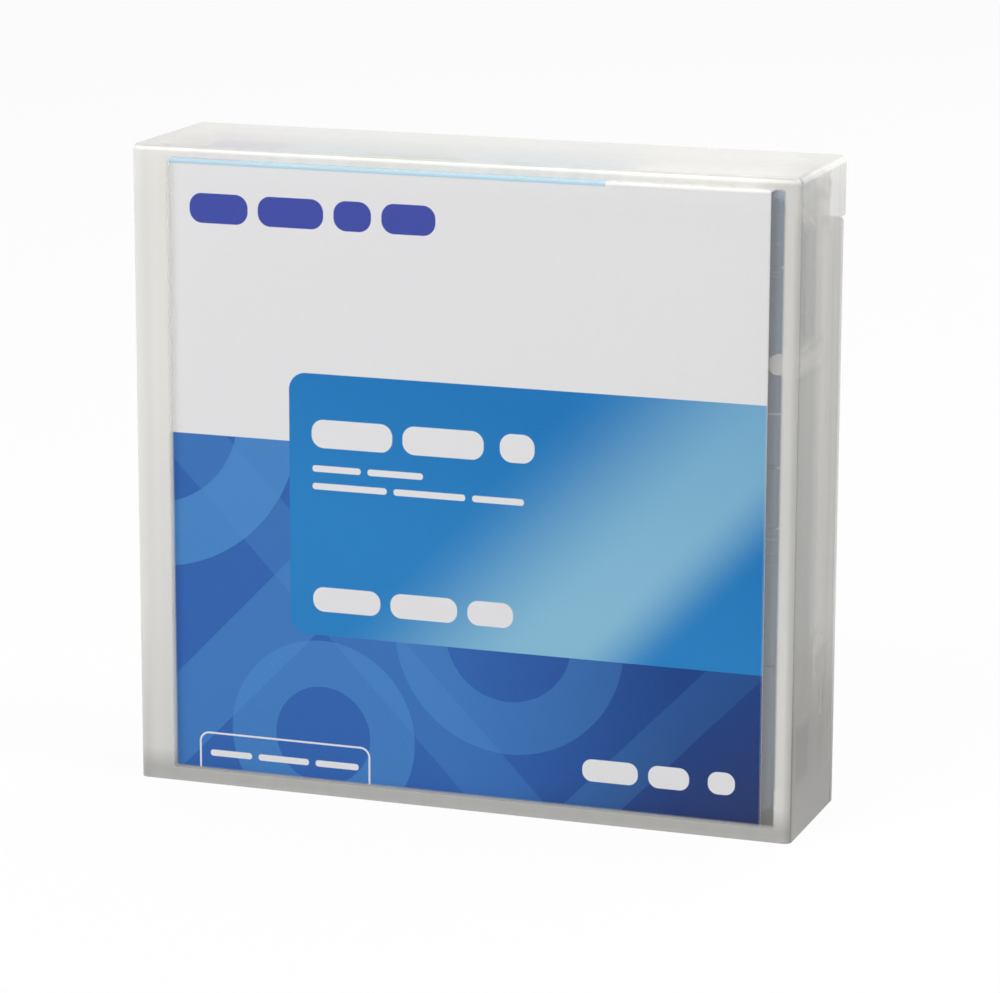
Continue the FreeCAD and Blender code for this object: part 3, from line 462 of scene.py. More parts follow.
def board_material(name):
    """Green circuit board with copper loops about a dark chip."""
    material, tree, inputs = new_material(name)
    raw = object_place(tree)
    low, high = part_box("memory_chip")
    middle = (low + high) / 2
    x, y, z = apart(tree, raw)
    across = calc(tree, "SUBTRACT", x, middle.x)
    up = calc(tree, "SUBTRACT", z, middle.z)
    along = calc(tree, "MULTIPLY", calc(tree, "ADD", across, up), 1000 * math.sqrt(0.5))
    height = calc(tree, "MULTIPLY", calc(tree, "SUBTRACT", y, middle.y), 1000)
    face = put(tree, "ShaderNodeCombineXYZ", {0: along, 2: height}).outputs[0]
    field = [use_group(tree, "Rounded field", place=face, left=-reach, right=reach, low=-reach, high=reach,
                       corner=reach * 0.3).outputs[0] for reach in BOARD_SQUARES]
    copper = together(tree, [calc(tree, "SUBTRACT", field[i], field[i + 1]) for i in (0, 2, 4)])
    grain = use_group(tree, "Moulded grain", place=raw).outputs
    board = blend(tree, grain["Tone"], linear(28, 78, 50), linear(38, 96, 62))
    board = blend(tree, calc(tree, "MULTIPLY", copper, 0.8), board, linear(176, 128, 72))
    feed(tree, inputs["Base Color"], blend(tree, field[-1], board, linear(26, 26, 28)))
    feed(tree, inputs["Roughness"], ramp(tree, grain["Tone"], 0.0, 1.0, 0.3, 0.42))
    add_bump(tree, inputs, calc(tree, "MAXIMUM", copper, field[-1]), 0.00005, 0.6)
    return material


def metal(name, base, rough=(0.25, 0.4), along=(200.0, 9000.0, 9000.0)):
    """Bright metal with fine marks along its working direction."""
    material, tree, inputs = new_material(name, Metallic=1.0)
    marks = use_group(tree, "Brushed marks", place=object_place(tree), along=along).outputs[0]
    feed(tree, inputs["Base Color"], blend(tree, marks, toned(base, 0.8), tuple(base)))
    feed(tree, inputs["Roughness"], ramp(tree, marks, 0.3, 0.7, *rough))
    add_bump(tree, inputs, marks, 0.00001, 0.4)
    return material


def dress(node, material):
    """Gives a CAD node or a new piece this finish all over."""
    thing = NODES[node] if isinstance(node, str) else node
    if not thing.material_slots:
        thing.data.materials.append(material)
    for held in thing.material_slots:
        held.material = material


# ------------------------------------------------------------------ finishes of the case and the card


# Shapes inside the right end wall, in millimetres: near and far depth from the card face, low and high edge
# above the foot, and softness.
THIN_PLACES = [(1.6, 9.4, 82.5, 101.0, 1.0), (2.8, 10.2, 9.2, 18.5, 0.9), (16.5, 21.0, 19.0, 29.0, 0.8)]
SOLID_PLACES = [(-2.0, 13.5, 77.4, 80.2, 0.7), (17.3, 18.3, 17.5, 30.5, 0.4)]
# A slanted stiffener there: the depth and height of its two ends, half its width and its softness.
STROKE_START, STROKE_END, STROKE_REACH, STROKE_SOFTNESS = (0.8, 104.0), (8.9, 100.4), 0.5, 0.3
SOLID_GAIN, THIN_LOSS = 0.22, 0.12


def beyond(tree, value, low, high):
    """How far a value lies outside a range, and below nought inside it."""
    away = calc(tree, "ABSOLUTE", calc(tree, "SUBTRACT", value, (low + high) / 2))
    return calc(tree, "SUBTRACT", away, (high - low) / 2)


def soft_boxes(tree, across, up, boxes):
    """A mask of soft-edged boxes, each given as its left, right, low and high edges and its softness."""
    return together(tree, [ramp(tree, calc(tree, "MAXIMUM", beyond(tree, across, left, right),
                                           beyond(tree, up, low, high)), -softness, softness, 1.0, 0.0)
                           for left, right, low, high, softness in boxes])


def end_wall_density(tree, x_normal, x, depth, up, plain):
    """Milky share of the right end wall: less at its thin places, more at its ribs and its stiffener."""
    thin = soft_boxes(tree, depth, up, THIN_PLACES)
    solid = soft_boxes(tree, depth, up, SOLID_PLACES)
    fall = (STROKE_START[1] - STROKE_END[1]) / (STROKE_END[0] - STROKE_START[0])
    level = calc(tree, "ADD", up, calc(tree, "MULTIPLY", depth, fall))
    middle = STROKE_START[1] + STROKE_START[0] * fall
    stroke = soft_boxes(tree, depth, level, [(STROKE_START[0], STROKE_END[0], middle - STROKE_REACH,
                                              middle + STROKE_REACH, STROKE_SOFTNESS)])
    right_wall = calc(tree, "GREATER_THAN", calc(tree, "MULTIPLY", calc(tree, "ABSOLUTE", x_normal), x),
                      SIZE.x * 1000 * LOOKS_UP)
    more = calc(tree, "MULTIPLY", calc(tree, "MAXIMUM", solid, stroke), SOLID_GAIN)
    less = calc(tree, "MULTIPLY", thin, THIN_LOSS)
    change = calc(tree, "MULTIPLY", right_wall, calc(tree, "SUBTRACT", more, less))
    return calc(tree, "ADD", plain, change)


# How far a normal leans towards a direction when its face counts as looking that way, or as flat to it.
LOOKS_AHEAD, LOOKS_UP, LIES_FLAT = 0.5, 0.6, 0.97
WINDOW_CORNER, WINDOW_SOFTNESS = 0.5, 0.2
# Painted shade on the plastic: its darkest share of the colour, and how far the top, the right end and the
# right margin are painted towards it.
PAINTED_SHADE_DARKEST, TOP_SHADE, END_SHADE, RIGHT_SHADE = 0.45, 0.55, 0.43, 0.23
# Painted light and shade by height: the lit share that a place keeps near the foot, the least of it on the
# front, and the painted light that a wall gains further up.
FOOT_PAINTED_LIGHT, FRONT_FOOT_PAINTED_LIGHT, UPPER_PAINTED_LIGHT = 0.86, 0.3, 0.14
# Heights, in millimetres, between which the painted shade changes: at the foot of the front and of the sides,
# on the upper walls and on the right margin. The last pair is the places across where the right end's painted
# shade sets in.
FRONT_FOOT, SIDE_FOOT, UPPER_WALL, RIGHT_MARGIN = (2, 5.5), (0, 30), (10, 70), (20, 60)
RIGHT_END = (107, 110)
# Heights between which the walls go from dense to plain, and the veil beside the card from its gain to one.
DENSE_FOOT, VEIL_HEIGHTS, VEIL_GAIN = (4, 30), (8, 104), 1.1
# Roughness of the frosted plastic, and the share of it that the polished window keeps.
FROSTED, POLISHED = (0.28, 0.36), 0.3
# What the lid's top adds to the plain wall's milky share, and how much the flow marks change that share.
TOP_GAIN, FLOW_CHANGE = 0.16, 0.015
# Milky plastic scatters light instead of stopping it: this share of its cover counts for shadows.
SHADOW_SHARE = 0.45


def clear_window(tree, place, on_wall, facing, settings):
    """One on the polished window over the card."""
    window = use_group(tree, "Rounded field", place=place, left=settings.window_left * 1000,
                       right=settings.window_right * 1000, low=settings.window_low * 1000,
                       high=settings.window_high * 1000, corner=WINDOW_CORNER,
                       softness=WINDOW_SOFTNESS).outputs[0]
    return calc(tree, "MULTIPLY", calc(tree, "MULTIPLY", on_wall, window),
                calc(tree, "GREATER_THAN", facing, LIES_FLAT))


def window_haze(tree, x, z, settings):
    """Milky share of the window: next to nothing over the card, and a light veil beside it."""
    card_edge = (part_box("insert_card")[1].x - LOW.x) * 1000
    veil = ramp(tree, z, *VEIL_HEIGHTS, settings.strip_veil * VEIL_GAIN, settings.strip_veil)
    beside_card = ramp(tree, x, card_edge + 0.05, card_edge + 0.25)
    return calc(tree, "ADD", settings.veil, calc(tree, "MULTIPLY", beside_card, veil))


def painted_case_shade(tree, x, z, ahead, upward, flow):
    """Painted shade of the plastic, nought at its darkest: painted darker towards the foot, on top and at the
    right, with the flow marks' own small change of tone.
    """
    beside = calc(tree, "SUBTRACT", 1.0, ahead)
    # Painted light by height: darker towards the foot, lighter further up.
    front_foot = ramp(tree, z, *FRONT_FOOT, FRONT_FOOT_PAINTED_LIGHT, FOOT_PAINTED_LIGHT)
    side_foot = ramp(tree, z, *SIDE_FOOT, 0.0, FOOT_PAINTED_LIGHT)
    foot = calc(tree, "ADD", calc(tree, "MULTIPLY", ahead, front_foot),
                calc(tree, "MULTIPLY", beside, side_foot))
    height = calc(tree, "ADD", foot, ramp(tree, z, *UPPER_WALL, 0.0, UPPER_PAINTED_LIGHT))
    tone = calc(tree, "MULTIPLY", ramp(tree, flow, 0.0, 1.0, 0.93, 1.0), height)
    # Painted shade at the right end, on its margin and on the lid's top.
    right = calc(tree, "MAXIMUM", ramp(tree, z, *RIGHT_MARGIN, 0.0, RIGHT_SHADE),
                 calc(tree, "MULTIPLY", beside, END_SHADE))
    far_end = calc(tree, "MULTIPLY", ramp(tree, x, *RIGHT_END), right)
    return calc(tree, "SUBTRACT", tone, calc(tree, "MAXIMUM", far_end,
                                             calc(tree, "MULTIPLY", upward, TOP_SHADE)))


def case_material(name, settings):
    """Milky plastic: polished to a clear window over the card, frosted everywhere else."""
    material, tree, inputs = new_material(name, IOR=1.49, Transmission_Weight=settings.clearness)
    raw = object_place(tree)
    place = card_millimetres(tree, raw)
    x, y, z = apart(tree, place)
    normal = apart(tree, put(tree, "ShaderNodeNewGeometry").outputs["Normal"])
    facing = calc(tree, "ABSOLUTE", normal[1])
    ahead = calc(tree, "GREATER_THAN", facing, LOOKS_AHEAD)
    upward = calc(tree, "GREATER_THAN", normal[2], LOOKS_UP)
    on_wall = calc(tree, "LESS_THAN", y, settings.front_wall * 1000 + 0.1)
    clear = clear_window(tree, place, on_wall, facing, settings)
    flow = use_group(tree, "Flow marks", place=raw).outputs[0]

    base = tuple(settings.plastic)
    # The colour carries painted shade: darker towards the foot, on the top and at the right end.
    feed(tree, inputs["Base Color"], blend(tree, painted_case_shade(tree, x, z, ahead, upward, flow),
                                           toned(base, PAINTED_SHADE_DARKEST), base))
    feed(tree, inputs["Roughness"], calc(tree, "MULTIPLY", ramp(tree, flow, 0.0, 1.0, *FROSTED),
                                         ramp(tree, clear, 0.0, 1.0, 1.0, POLISHED)))

    thick = calc(tree, "MAXIMUM", calc(tree, "MULTIPLY", on_wall, ahead),
                 ramp(tree, z, *DENSE_FOOT, 1.0, 0.0))
    plain = calc(tree, "ADD", calc(tree, "MULTIPLY", upward, TOP_GAIN),
                 ramp(tree, thick, 0.0, 1.0, settings.density, settings.margin))
    dense = calc(tree, "ADD", end_wall_density(tree, normal[0], x, y, z, plain),
                 ramp(tree, flow, 0.0, 1.0, -FLOW_CHANGE, FLOW_CHANGE))
    cover = calc(tree, "ADD", calc(tree, "MULTIPLY", calc(tree, "SUBTRACT", 1.0, clear), dense),
                 calc(tree, "MULTIPLY", clear, window_haze(tree, x, z, settings)))
    shadow = put(tree, "ShaderNodeLightPath").outputs["Is Shadow Ray"]
    feed(tree, inputs["Alpha"], calc(tree, "MULTIPLY", cover,
                                     ramp(tree, shadow, 0.0, 1.0, 1.0, SHADOW_SHARE)))

    frosting = put(tree, "ShaderNodeTexNoise", {"Vector": raw, "Scale": 6000.0, "Detail": 0.0})
    add_bump(tree, inputs, frosting.outputs["Fac"], 0.00001, 0.15)
    return material


def together(tree, masks):
    """One wherever any of the masks is one."""
    whole = masks[0]
    for mask in masks[1:]:
        whole = calc(tree, "MAXIMUM", whole, mask)
    return whole


def bars(tree, x, z, rows):
    """A mask of rows of bars with round corners: each row's low and high edge, corner and bars' ends."""
    masks = []
    for low, high, corner, ends in rows:
        sideways = [beyond(tree, x, left, right) for left, right in ends]
        nearest = sideways[0]
        for distance in sideways[1:]:
            nearest = calc(tree, "MINIMUM", nearest, distance)
        x_out = calc(tree, "MAXIMUM", calc(tree, "ADD", nearest, corner), 0.0)
        z_out = calc(tree, "MAXIMUM", calc(tree, "ADD", beyond(tree, z, low, high), corner), 0.0)
        away = calc(tree, "SQRT", calc(tree, "ADD", calc(tree, "MULTIPLY", x_out, x_out),
                                       calc(tree, "MULTIPLY", z_out, z_out)))
        masks.append(ramp(tree, away, corner - 0.05, corner + 0.05, 1.0, 0.0))
    return together(tree, masks)


# Everything printed is in millimetres from the case's left end and from its foot. The light panel runs past
# the card's right edge, and the outlined tab past its lower edge.
FIELD_TOP = 60.4
PANEL_LEFT, PANEL_RIGHT, PANEL_LOW, PANEL_HIGH, PANEL_CORNER = 27.3, 140.0, 27.5, 72.1, 3.0
# The light panel's deeper top: how much a place's distance across counts as height, and its heights.
PANEL_TOP_SLANT, PANEL_TOP = 0.3, (60, 88)
# Its beam: how far it leans per millimetre of height, where it rises and falls along the foot, the heights
# between which it fades, and what is left of it.
BEAM_SLANT, BEAM_RISE, BEAM_FALL, BEAM_HEIGHTS, BEAM_LEAST = 0.95, (8, 44), (50, 66), (34, 72), 0.72
# The deep field's changes of tone: to the right, and towards the darkest corner along a slant.
DEEP_CHANGE, DARK_SLANT, DARK_CHANGE = (58, 96), 1.6, (62, 106)
# Places across between which the motifs fade, and the share that is left of them.
MOTIF_FADE, MOTIF_LEAST = (50, 105), 0.35
BAND_LOW, BAND_RIGHT, BAND_COLOUR = 105.9, 82.0, linear(190, 220, 236)
TAB_LEFT, TAB_RIGHT, TAB_LOW, TAB_HIGH, TAB_CORNER, TAB_LINE = 10.4, 41.5, -9.0, 8.7, 1.8, 0.32
# Rows of bars: low and high edge, corner, and the left and right end of each bar.
TITLE_BARS = [(96.2, 101.2, 2.2, ((9.8, 20.2), (22.0, 33.6), (35.4, 42.0), (43.8, 53.2)))]
SMALL_BARS = [(59.6, 64.4, 2.1, ((31.3, 45.6), (47.4, 61.6), (64.4, 70.4))),
              (55.5, 56.6, 0.5, ((31.4, 40.0), (41.2, 51.0))),
              (52.5, 53.6, 0.5, ((31.4, 44.6), (45.8, 58.4), (59.6, 68.6))),
              (31.6, 35.8, 1.9, ((31.4, 43.4), (45.2, 57.0), (58.8, 66.8))),
              (4.5, 5.6, 0.5, ((12.4, 20.0), (21.2, 30.4), (31.6, 39.4))),
              (6.8, 10.6, 1.7, ((79.0, 88.6), (90.4, 97.4), (100.6, 105.2)))]
# Shapes over the deep field: kind, strength, and place and size. Angles are in radians.
MOTIFS = (("Ring field", 0.75, dict(across=2.0, up=64.0, inner=16.0, outer=27.0)),
          ("Slanted field", 0.45, dict(across=20.0, up=24.0, angle=0.80, reach=6.0)),
          ("Ring field", 0.55, dict(across=33.0, up=10.0, inner=8.5, outer=16.5)),
          ("Slanted field", 0.30, dict(across=54.0, up=14.0, angle=-0.80, reach=5.0)),
          ("Ring field", 0.50, dict(across=66.0, up=30.0, inner=11.0, outer=20.0)),
          ("Slanted field", 0.35, dict(across=92.0, up=14.0, angle=0.80, reach=3.6)))
# Fields on the spine: left and right end, near and far depth, and colour.
SPINE_FIELDS = (((6.0, 82.0, 2.2, 30.0), (176, 206, 226)), ((6.0, 19.0, 3.0, 30.0), (166, 160, 204)),
                ((35.0, 52.0, 5.0, 20.0), (160, 176, 166)), ((60.0, 82.0, 8.0, 17.0), (130, 178, 214)))


def deep_field(tree, place, x, z, settings):
    """The deep field: darker to the right and to the lower right, with rings and slanted bands over it."""
    field = blend(tree, ramp(tree, x, *DEEP_CHANGE), tuple(settings.field), tuple(settings.field_deep))
    corner = calc(tree, "SUBTRACT", x, calc(tree, "MULTIPLY", z, DARK_SLANT))
    field = blend(tree, ramp(tree, corner, *DARK_CHANGE), field, tuple(settings.field_dark))
    for kind, strength, sizes in MOTIFS:
        mask = use_group(tree, kind, place=place, **sizes).outputs[0]
        faded = calc(tree, "MULTIPLY", mask, ramp(tree, x, *MOTIF_FADE, strength, strength * MOTIF_LEAST))
        field = blend(tree, faded, field, tuple(settings.motif))
    return field


def light_panel(tree, x, z, settings):
    """A deeper top, and a soft beam that fades slowly to its left and fast to its right."""
    top = calc(tree, "ADD", z, calc(tree, "MULTIPLY", x, PANEL_TOP_SLANT))
    panel = blend(tree, ramp(tree, top, *PANEL_TOP), tuple(settings.panel), tuple(settings.panel_deep))
    across = calc(tree, "SUBTRACT", x, calc(tree, "MULTIPLY", z, BEAM_SLANT))
    rise = put(tree, "ShaderNodeMapRange", {0: across, 1: BEAM_RISE[0], 2: BEAM_RISE[1]},
               interpolation_type="SMOOTHSTEP")
    fall = put(tree, "ShaderNodeMapRange", {0: across, 1: BEAM_FALL[0], 2: BEAM_FALL[1], 3: 1.0, 4: 0.0},
               interpolation_type="SMOOTHSTEP")
    beam = calc(tree, "MULTIPLY", calc(tree, "MULTIPLY", rise.outputs[0], fall.outputs[0]),
                ramp(tree, z, *BEAM_HEIGHTS, 1.0, BEAM_LEAST))
    return blend(tree, beam, panel, tuple(settings.panel_light))


def card_material(name, settings):
    """Coated card with fields of colour and plain shapes on its face and its spine."""
    material, tree, inputs = new_material(name, Specular_IOR_Level=0.12)
    raw = object_place(tree)
    place = card_millimetres(tree, raw)
    x, y, z = apart(tree, place)
    normal = apart(tree, put(tree, "ShaderNodeNewGeometry").outputs["Normal"])
    paper = tuple(settings.paper)

    field = deep_field(tree, place, x, z, settings)
    face = blend(tree, ramp(tree, z, FIELD_TOP - 0.05, FIELD_TOP + 0.05, 1.0, 0.0), paper, field)
    panel = use_group(tree, "Rounded field", place=place, left=PANEL_LEFT, right=PANEL_RIGHT, low=PANEL_LOW,
                      high=PANEL_HIGH, corner=PANEL_CORNER).outputs[0]
    face = blend(tree, panel, face, light_panel(tree, x, z, settings))
    face = blend(tree, bars(tree, x, z, TITLE_BARS), face, tuple(settings.title))
    left_part = ramp(tree, x, BAND_RIGHT, BAND_RIGHT + 0.2, 1.0, 0.0)
    band = calc(tree, "MULTIPLY", ramp(tree, z, BAND_LOW, BAND_LOW + 0.15), left_part)
    face = blend(tree, band, face, BAND_COLOUR)
    tab = [use_group(tree, "Rounded field", place=place, left=TAB_LEFT + rim, right=TAB_RIGHT - rim,
                     low=TAB_LOW, high=TAB_HIGH - rim, corner=TAB_CORNER - rim).outputs[0]
           for rim in (0.0, TAB_LINE)]
    white = calc(tree, "MAXIMUM", bars(tree, x, z, SMALL_BARS), calc(tree, "SUBTRACT", *tab))
    face = blend(tree, white, face, paper)

    spine = paper
    for edges, levels in SPINE_FIELDS:
        spine = blend(tree, soft_boxes(tree, x, y, [(*edges, 0.1)]), spine, linear(*levels))
    fold = calc(tree, "MULTIPLY", ramp(tree, y, 2.0, 2.1, 1.0, 0.0), left_part)
    spine = blend(tree, fold, spine, BAND_COLOUR)

    surface = blend(tree, calc(tree, "LESS_THAN", normal[1], -0.75), paper, face)
    surface = blend(tree, calc(tree, "GREATER_THAN", normal[2], LOOKS_UP), surface, spine)
    fibre = put(tree, "ShaderNodeTexNoise", {"Vector": raw, "Scale": 2500.0, "Detail": 1.0}).outputs["Fac"]
    feed(tree, inputs["Base Color"], blend(tree, ramp(tree, fibre, 0.35, 0.75, 0.0, 0.03), surface,
                                           (0.3, 0.3, 0.32)))
    feed(tree, inputs["Roughness"], ramp(tree, fibre, 0.0, 1.0, 0.5, 0.62))
    add_bump(tree, inputs, fibre, 0.00001, 0.2)
    return material


# ------------------------------------------------------------------ modelling with operators


def only(thing):
    """Leaves just this object selected and active."""
    bpy.ops.object.select_all(action="DESELECT")
    thing.select_set(True)
    bpy.context.view_layer.objects.active = thing


def settle(thing, name, body, node=None):
    """Writes the place into the mesh and hands the finished piece to its body."""
    only(thing)
    bpy.ops.object.transform_apply(location=True, rotation=True, scale=True)
    thing.name = thing.data.name = name
    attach(thing, body)
    if node:
        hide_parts(node)
    return thing


def wire_spring(name, body, node, axis, wire, turns):
    """A compression spring of round wire where the CAD coil stands, its ends closed."""
    low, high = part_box(node)
    middle = (low + high) / 2
    long = {"Y": 1, "Z": 2}[axis]
    radius = (high.x - low.x) / 2 - wire / 2
    bpy.ops.object.select_all(action="DESELECT")
    start = middle.copy()
    start[long] = low[long] + wire / 2
    tilt = (math.pi / 2, 0, 0) if axis == "Z" else (0, 0, 0)
    bpy.ops.mesh.primitive_circle_add(vertices=8, radius=wire / 2, fill_type="NOTHING", location=start,
                                      rotation=tilt)
    thing = bpy.context.object
    bpy.ops.object.transform_apply(location=False, rotation=True, scale=True)
    bpy.ops.object.mode_set(mode="EDIT")
    bpy.ops.mesh.select_all(action="SELECT")
    bpy.ops.transform.translate(value=(radius, 0, 0))
    bpy.ops.object.mode_set(mode="OBJECT")
    coil = thing.modifiers.new("coil", "SCREW")
    coil.axis = axis
    coil.angle = 2 * math.pi * turns
    coil.screw_offset = high[long] - low[long] - wire
    coil.steps = coil.render_steps = 20 * turns
    coil.use_smooth_shade = True
    only(thing)
    bpy.ops.object.modifier_apply(modifier="coil")
    bpy.ops.object.mode_set(mode="EDIT")
    bpy.ops.mesh.select_all(action="SELECT")
    bpy.ops.mesh.fill_holes(sides=12)
    bpy.ops.mesh.select_all(action="SELECT")
    bpy.ops.mesh.normals_make_consistent(inside=False)
    bpy.ops.object.mode_set(mode="OBJECT")
    return settle(thing, name, body, node)


# ------------------------------------------------------------------ operators


class TAPE_OT_stage(bpy.types.Operator):
    """Camera, lamps, floor and background"""
    bl_idname = "tape.stage"
    bl_label = "Stage"

    def execute(self, context):
        settings = context.scene.tape_stage
        add_camera(settings)
        add_lamps()
        add_floor(settings)
        add_world(settings)
        context.scene.view_settings.view_transform = "Standard"
        return {"FINISHED"}


# The camera's place in metres, and how far it is turned, tipped down and rolled, in degrees.
CAMERA_PLACE, CAMERA_TURN, CAMERA_RISE, CAMERA_ROLL = (0.2286, -0.64685, 0.2060), 19.254, 12.76, -0.182
# Lamps: name, place, width of the square, power in watts and tint.
LAMPS = (("key", (-0.55, -0.95, 0.75), 0.7, 10.2, (1.0, 1.0, 1.0)),
         ("fill", (0.26, -0.05, 0.46), 0.12, 0.95, (1.0, 0.96, 0.90)),
         ("top", (0.05, 0.25, 0.95), 0.6, 1.3, (1.0, 1.0, 1.0)),
         ("rear", (0.40, 0.95, 0.30), 0.6, 3.0, (1.0, 1.0, 1.0)))
# The world's strength as light, and as the background that is seen.
WORLD_LIGHT, WORLD_SEEN = 0.38, 1.0
# The floor's grey as a reflector and where it is seen, and how much of the seen floor is plain white.
FLOOR_DARK, FLOOR_PALE, FLOOR_WHITE = (0.28, 0.28, 0.28), (0.85, 0.85, 0.85), 0.93


def add_camera(settings):
    data = bpy.data.cameras.new("view")
    data.sensor_fit, data.sensor_width, data.lens = "HORIZONTAL", 36.0, settings.lens
    data.clip_start, data.clip_end = 0.05, 20
    camera = bpy.data.objects.new("view", data)
    bpy.context.scene.collection.objects.link(camera)
    turn, rise, roll = (math.radians(value) for value in (CAMERA_TURN, CAMERA_RISE, CAMERA_ROLL))
    ahead = Vector((-math.sin(turn) * math.cos(rise), math.cos(turn) * math.cos(rise), -math.sin(rise)))
    right = ahead.cross(Vector((0, 0, 1))).normalized()
    down = ahead.cross(right)
    across = right * math.cos(roll) + down * math.sin(roll)
    lower = down * math.cos(roll) - right * math.sin(roll)
    rows = [(across[i], -lower[i], -ahead[i], CAMERA_PLACE[i]) for i in range(3)]
    camera.matrix_world = Matrix((*rows, (0, 0, 0, 1)))
    bpy.context.scene.camera = camera


def add_lamps():
    for name, place, size, power, tint in LAMPS:
        data = bpy.data.lights.new(name, "AREA")
        data.shape, data.size, data.energy, data.color = "SQUARE", size, power, tint
        lamp = bpy.data.objects.new(name, data)
        bpy.context.scene.collection.objects.link(lamp)
        lamp.location = place
        lamp.rotation_mode = "QUATERNION"
        lamp.rotation_quaternion = (MIDDLE - Vector(place)).to_track_quat("-Z", "Y")


def seen_directly(tree):
    """One for rays that show the backdrop itself: from the camera, a mirror or through glass."""
    path = put(tree, "ShaderNodeLightPath").outputs
    return calc(tree, "MAXIMUM", path["Is Camera Ray"],
                calc(tree, "MAXIMUM", path["Is Glossy Ray"], path["Is Transmission Ray"]))


def add_floor(settings):
    bpy.ops.object.select_all(action="DESELECT")
    bpy.ops.mesh.primitive_plane_add(size=6, location=(0, 0, LOW.z - 0.00005))
    floor = bpy.context.object
    floor.name = "floor"
    material, tree, inputs = new_material("floor", Roughness=0.6)
    seen = seen_directly(tree)
    feed(tree, inputs["Base Color"], blend(tree, seen, FLOOR_DARK, FLOOR_PALE))
    glow = put(tree, "ShaderNodeEmission", {"Color": tuple(settings.backdrop), "Strength": 1.0})
    mix = put(tree, "ShaderNodeMixShader", {0: calc(tree, "MULTIPLY", seen, FLOOR_WHITE)})
    tree.links.new(tree.nodes["Principled BSDF"].outputs[0], mix.inputs[1])
    tree.links.new(glow.outputs[0], mix.inputs[2])
    tree.links.new(mix.outputs[0], tree.nodes["Material Output"].inputs[0])
    dress(floor, material)


def add_world(settings):
    world = bpy.data.worlds.new("studio")
    bpy.context.scene.world = world
    world.use_nodes = True
    tree = world.node_tree
    light = tree.nodes["Background"]
    light.inputs["Color"].default_value = (1, 1, 1, 1)
    feed(tree, light.inputs["Strength"], ramp(tree, seen_directly(tree), 0.0, 1.0, WORLD_LIGHT, WORLD_SEEN))


class TAPE_OT_case(bpy.types.Operator):
    """Milky finish of the lid and the base"""
    bl_idname = "tape.case"
    bl_label = "Case"

    def execute(self, context):
        finish = case_material("milky_polypropylene", context.scene.tape_case)
        for node in ("case_lid", "case_base"):
            dress(node, finish)
        return {"FINISHED"}


class TAPE_OT_card(bpy.types.Operator):
    """Printed card under the front wall"""
    bl_idname = "tape.card"
    bl_label = "Card"

    def execute(self, context):
        dress("insert_card", card_material("printed_card", context.scene.tape_card))
        return {"FINISHED"}


class TAPE_OT_shells(bpy.types.Operator):
    """Cartridge halves, door, slider and screws"""
    bl_idname = "tape.shells"
    bl_label = "Shells"

    def execute(self, context):
        settings = context.scene.tape_cartridge
        shell = shell_material("slate_plastic", settings)
        for node in ("upper_shell", "lower_shell"):
            dress(node, shell)
        dress("access_door", grained("door_plastic", settings.door, rough=(0.35, 0.5)))
        dress("write_protect_slider", grained("slider_red", settings.slider, rough=(0.3, 0.4)))
        dress("shell_screws", metal("screw_steel", (0.62, 0.62, 0.64)))
        return {"FINISHED"}


class TAPE_OT_leader(bpy.types.Operator):
    """Leader pin with its clip, springs and strip, and the memory chip"""
    bl_idname = "tape.leader"
    bl_label = "Leader"

    def execute(self, context):
        dress("leader_pin", metal("pin_steel", (0.72, 0.72, 0.73), rough=(0.15, 0.3),
                                  along=(9000.0, 200.0, 9000.0)))
        leaf = metal("leaf_steel", (0.66, 0.65, 0.62))
        for node in ("pin_spring_upper", "pin_spring_lower"):
            dress(node, leaf)
        dress("tape_clip", grained("clip_plastic", linear(60, 62, 66), rough=(0.3, 0.4)))
        dress("leader_tape", grained("leader_film", linear(190, 196, 196), rough=(0.2, 0.3),
                                     depth=0.000005))
        dress("memory_chip", board_material("circuit_board"))
        return {"FINISHED"}


class TAPE_OT_reel(bpy.types.Operator):
    """Reel, wound tape, brake and release"""
    bl_idname = "tape.reel"
    bl_label = "Reel"

    def execute(self, context):
        settings = context.scene.tape_cartridge
        reel = grained("reel_plastic", linear(206, 208, 204), rough=(0.3, 0.45))
        for node in ("reel_hub", "upper_flange"):
            dress(node, reel)
        dress("tape_pack", wound_material("wound_film", settings))
        brake = grained("brake_plastic", linear(150, 152, 150), rough=(0.35, 0.5))
        for node in ("reel_brake", "release_pad"):
            dress(node, brake)
        dress("clutch_plate", turned_metal("clutch_steel", "clutch_plate", (0.6, 0.6, 0.6)))
        return {"FINISHED"}


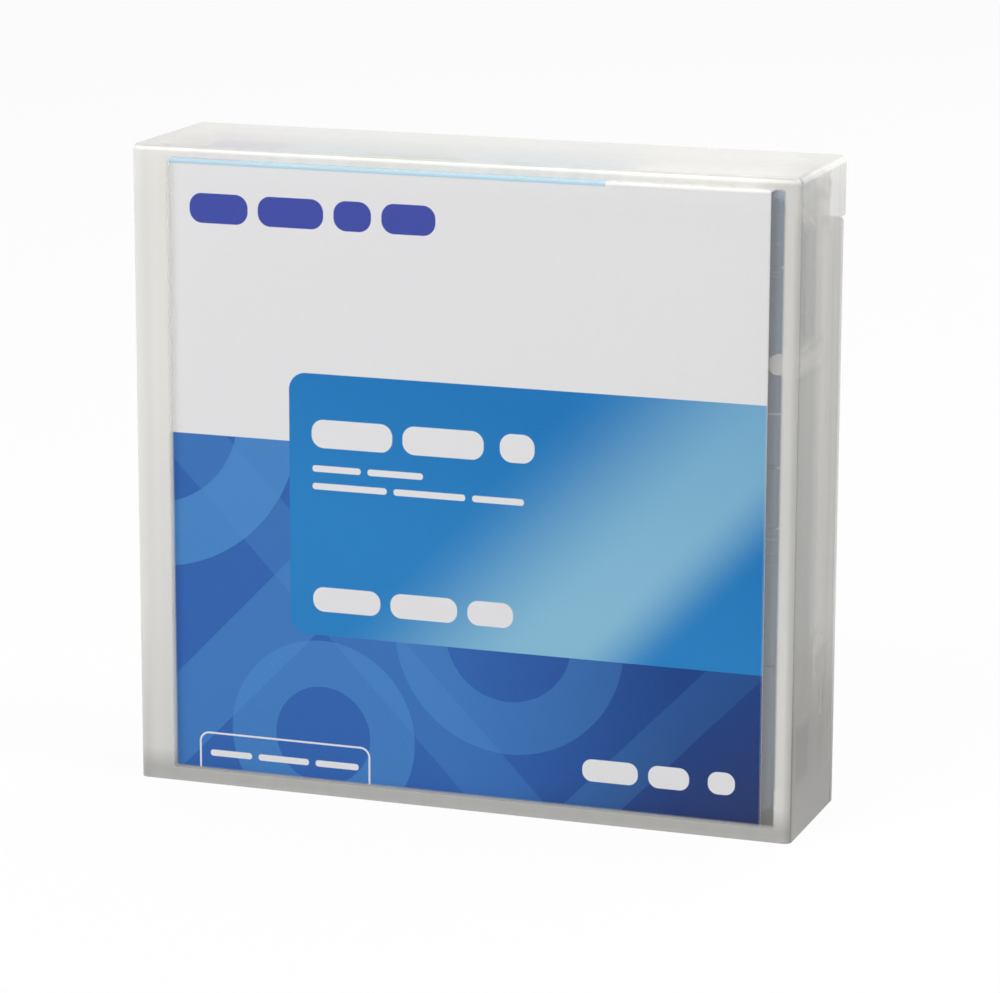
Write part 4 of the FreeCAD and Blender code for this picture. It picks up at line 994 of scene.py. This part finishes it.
class TAPE_OT_springs(bpy.types.Operator):
    """Round wire springs of the door and the brake"""
    bl_idname = "tape.springs"
    bl_label = "Springs"

    def execute(self, context):
        wire = metal("spring_steel", (0.6, 0.6, 0.62))
        for name, node, axis, thick, turns, joint, held_high in (
                ("door_spring_wire", "door_spring", (0, 0, 1), 0.0004, 8, "door_slide", True),
                ("brake_spring_wire", "brake_spring", (0, 1, 0), 0.0007, 4, "brake_slide", False)):
            spring = wire_spring(name, "lid", node, "XYZ"[axis.index(1)], thick, turns)
            dress(spring, wire)
            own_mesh(spring)
        return {"FINISHED"}


OPERATORS = (TAPE_OT_stage, TAPE_OT_case, TAPE_OT_card, TAPE_OT_shells, TAPE_OT_leader, TAPE_OT_reel,
             TAPE_OT_springs)
SETTINGS = (("tape_case", TapeCaseSettings), ("tape_card", TapeCardSettings),
            ("tape_cartridge", TapeCartridgeSettings), ("tape_stage", TapeStageSettings))


class TAPE_PT_panel(bpy.types.Panel):
    """The steps that dress the cartridge, in order"""
    bl_idname = "TAPE_PT_panel"
    bl_label = "Data tape cartridge"
    bl_space_type = "VIEW_3D"
    bl_region_type = "UI"
    bl_category = "Tape"

    def draw(self, context):
        for name, group in SETTINGS:
            box = self.layout.box()
            for item in group.__annotations__:
                box.prop(getattr(context.scene, name), item)
        for operator in OPERATORS:
            self.layout.operator(operator.bl_idname)


def register():
    for name, group in SETTINGS:
        bpy.utils.register_class(group)
        setattr(bpy.types.Scene, name, bpy.props.PointerProperty(type=group))
    for item in (*OPERATORS, TAPE_PT_panel):
        bpy.utils.register_class(item)


def unregister():
    for item in reversed((*OPERATORS, TAPE_PT_panel)):
        bpy.utils.unregister_class(item)
    for name, group in reversed(SETTINGS):
        delattr(bpy.types.Scene, name)
        bpy.utils.unregister_class(group)


def main():
    register()
    make_groups()
    bpy.ops.tape.stage()
    bpy.ops.tape.case()
    bpy.ops.tape.card()
    bpy.ops.tape.shells()
    bpy.ops.tape.leader()
    bpy.ops.tape.reel()
    bpy.ops.tape.springs()


if __name__ == "__main__":
    main()
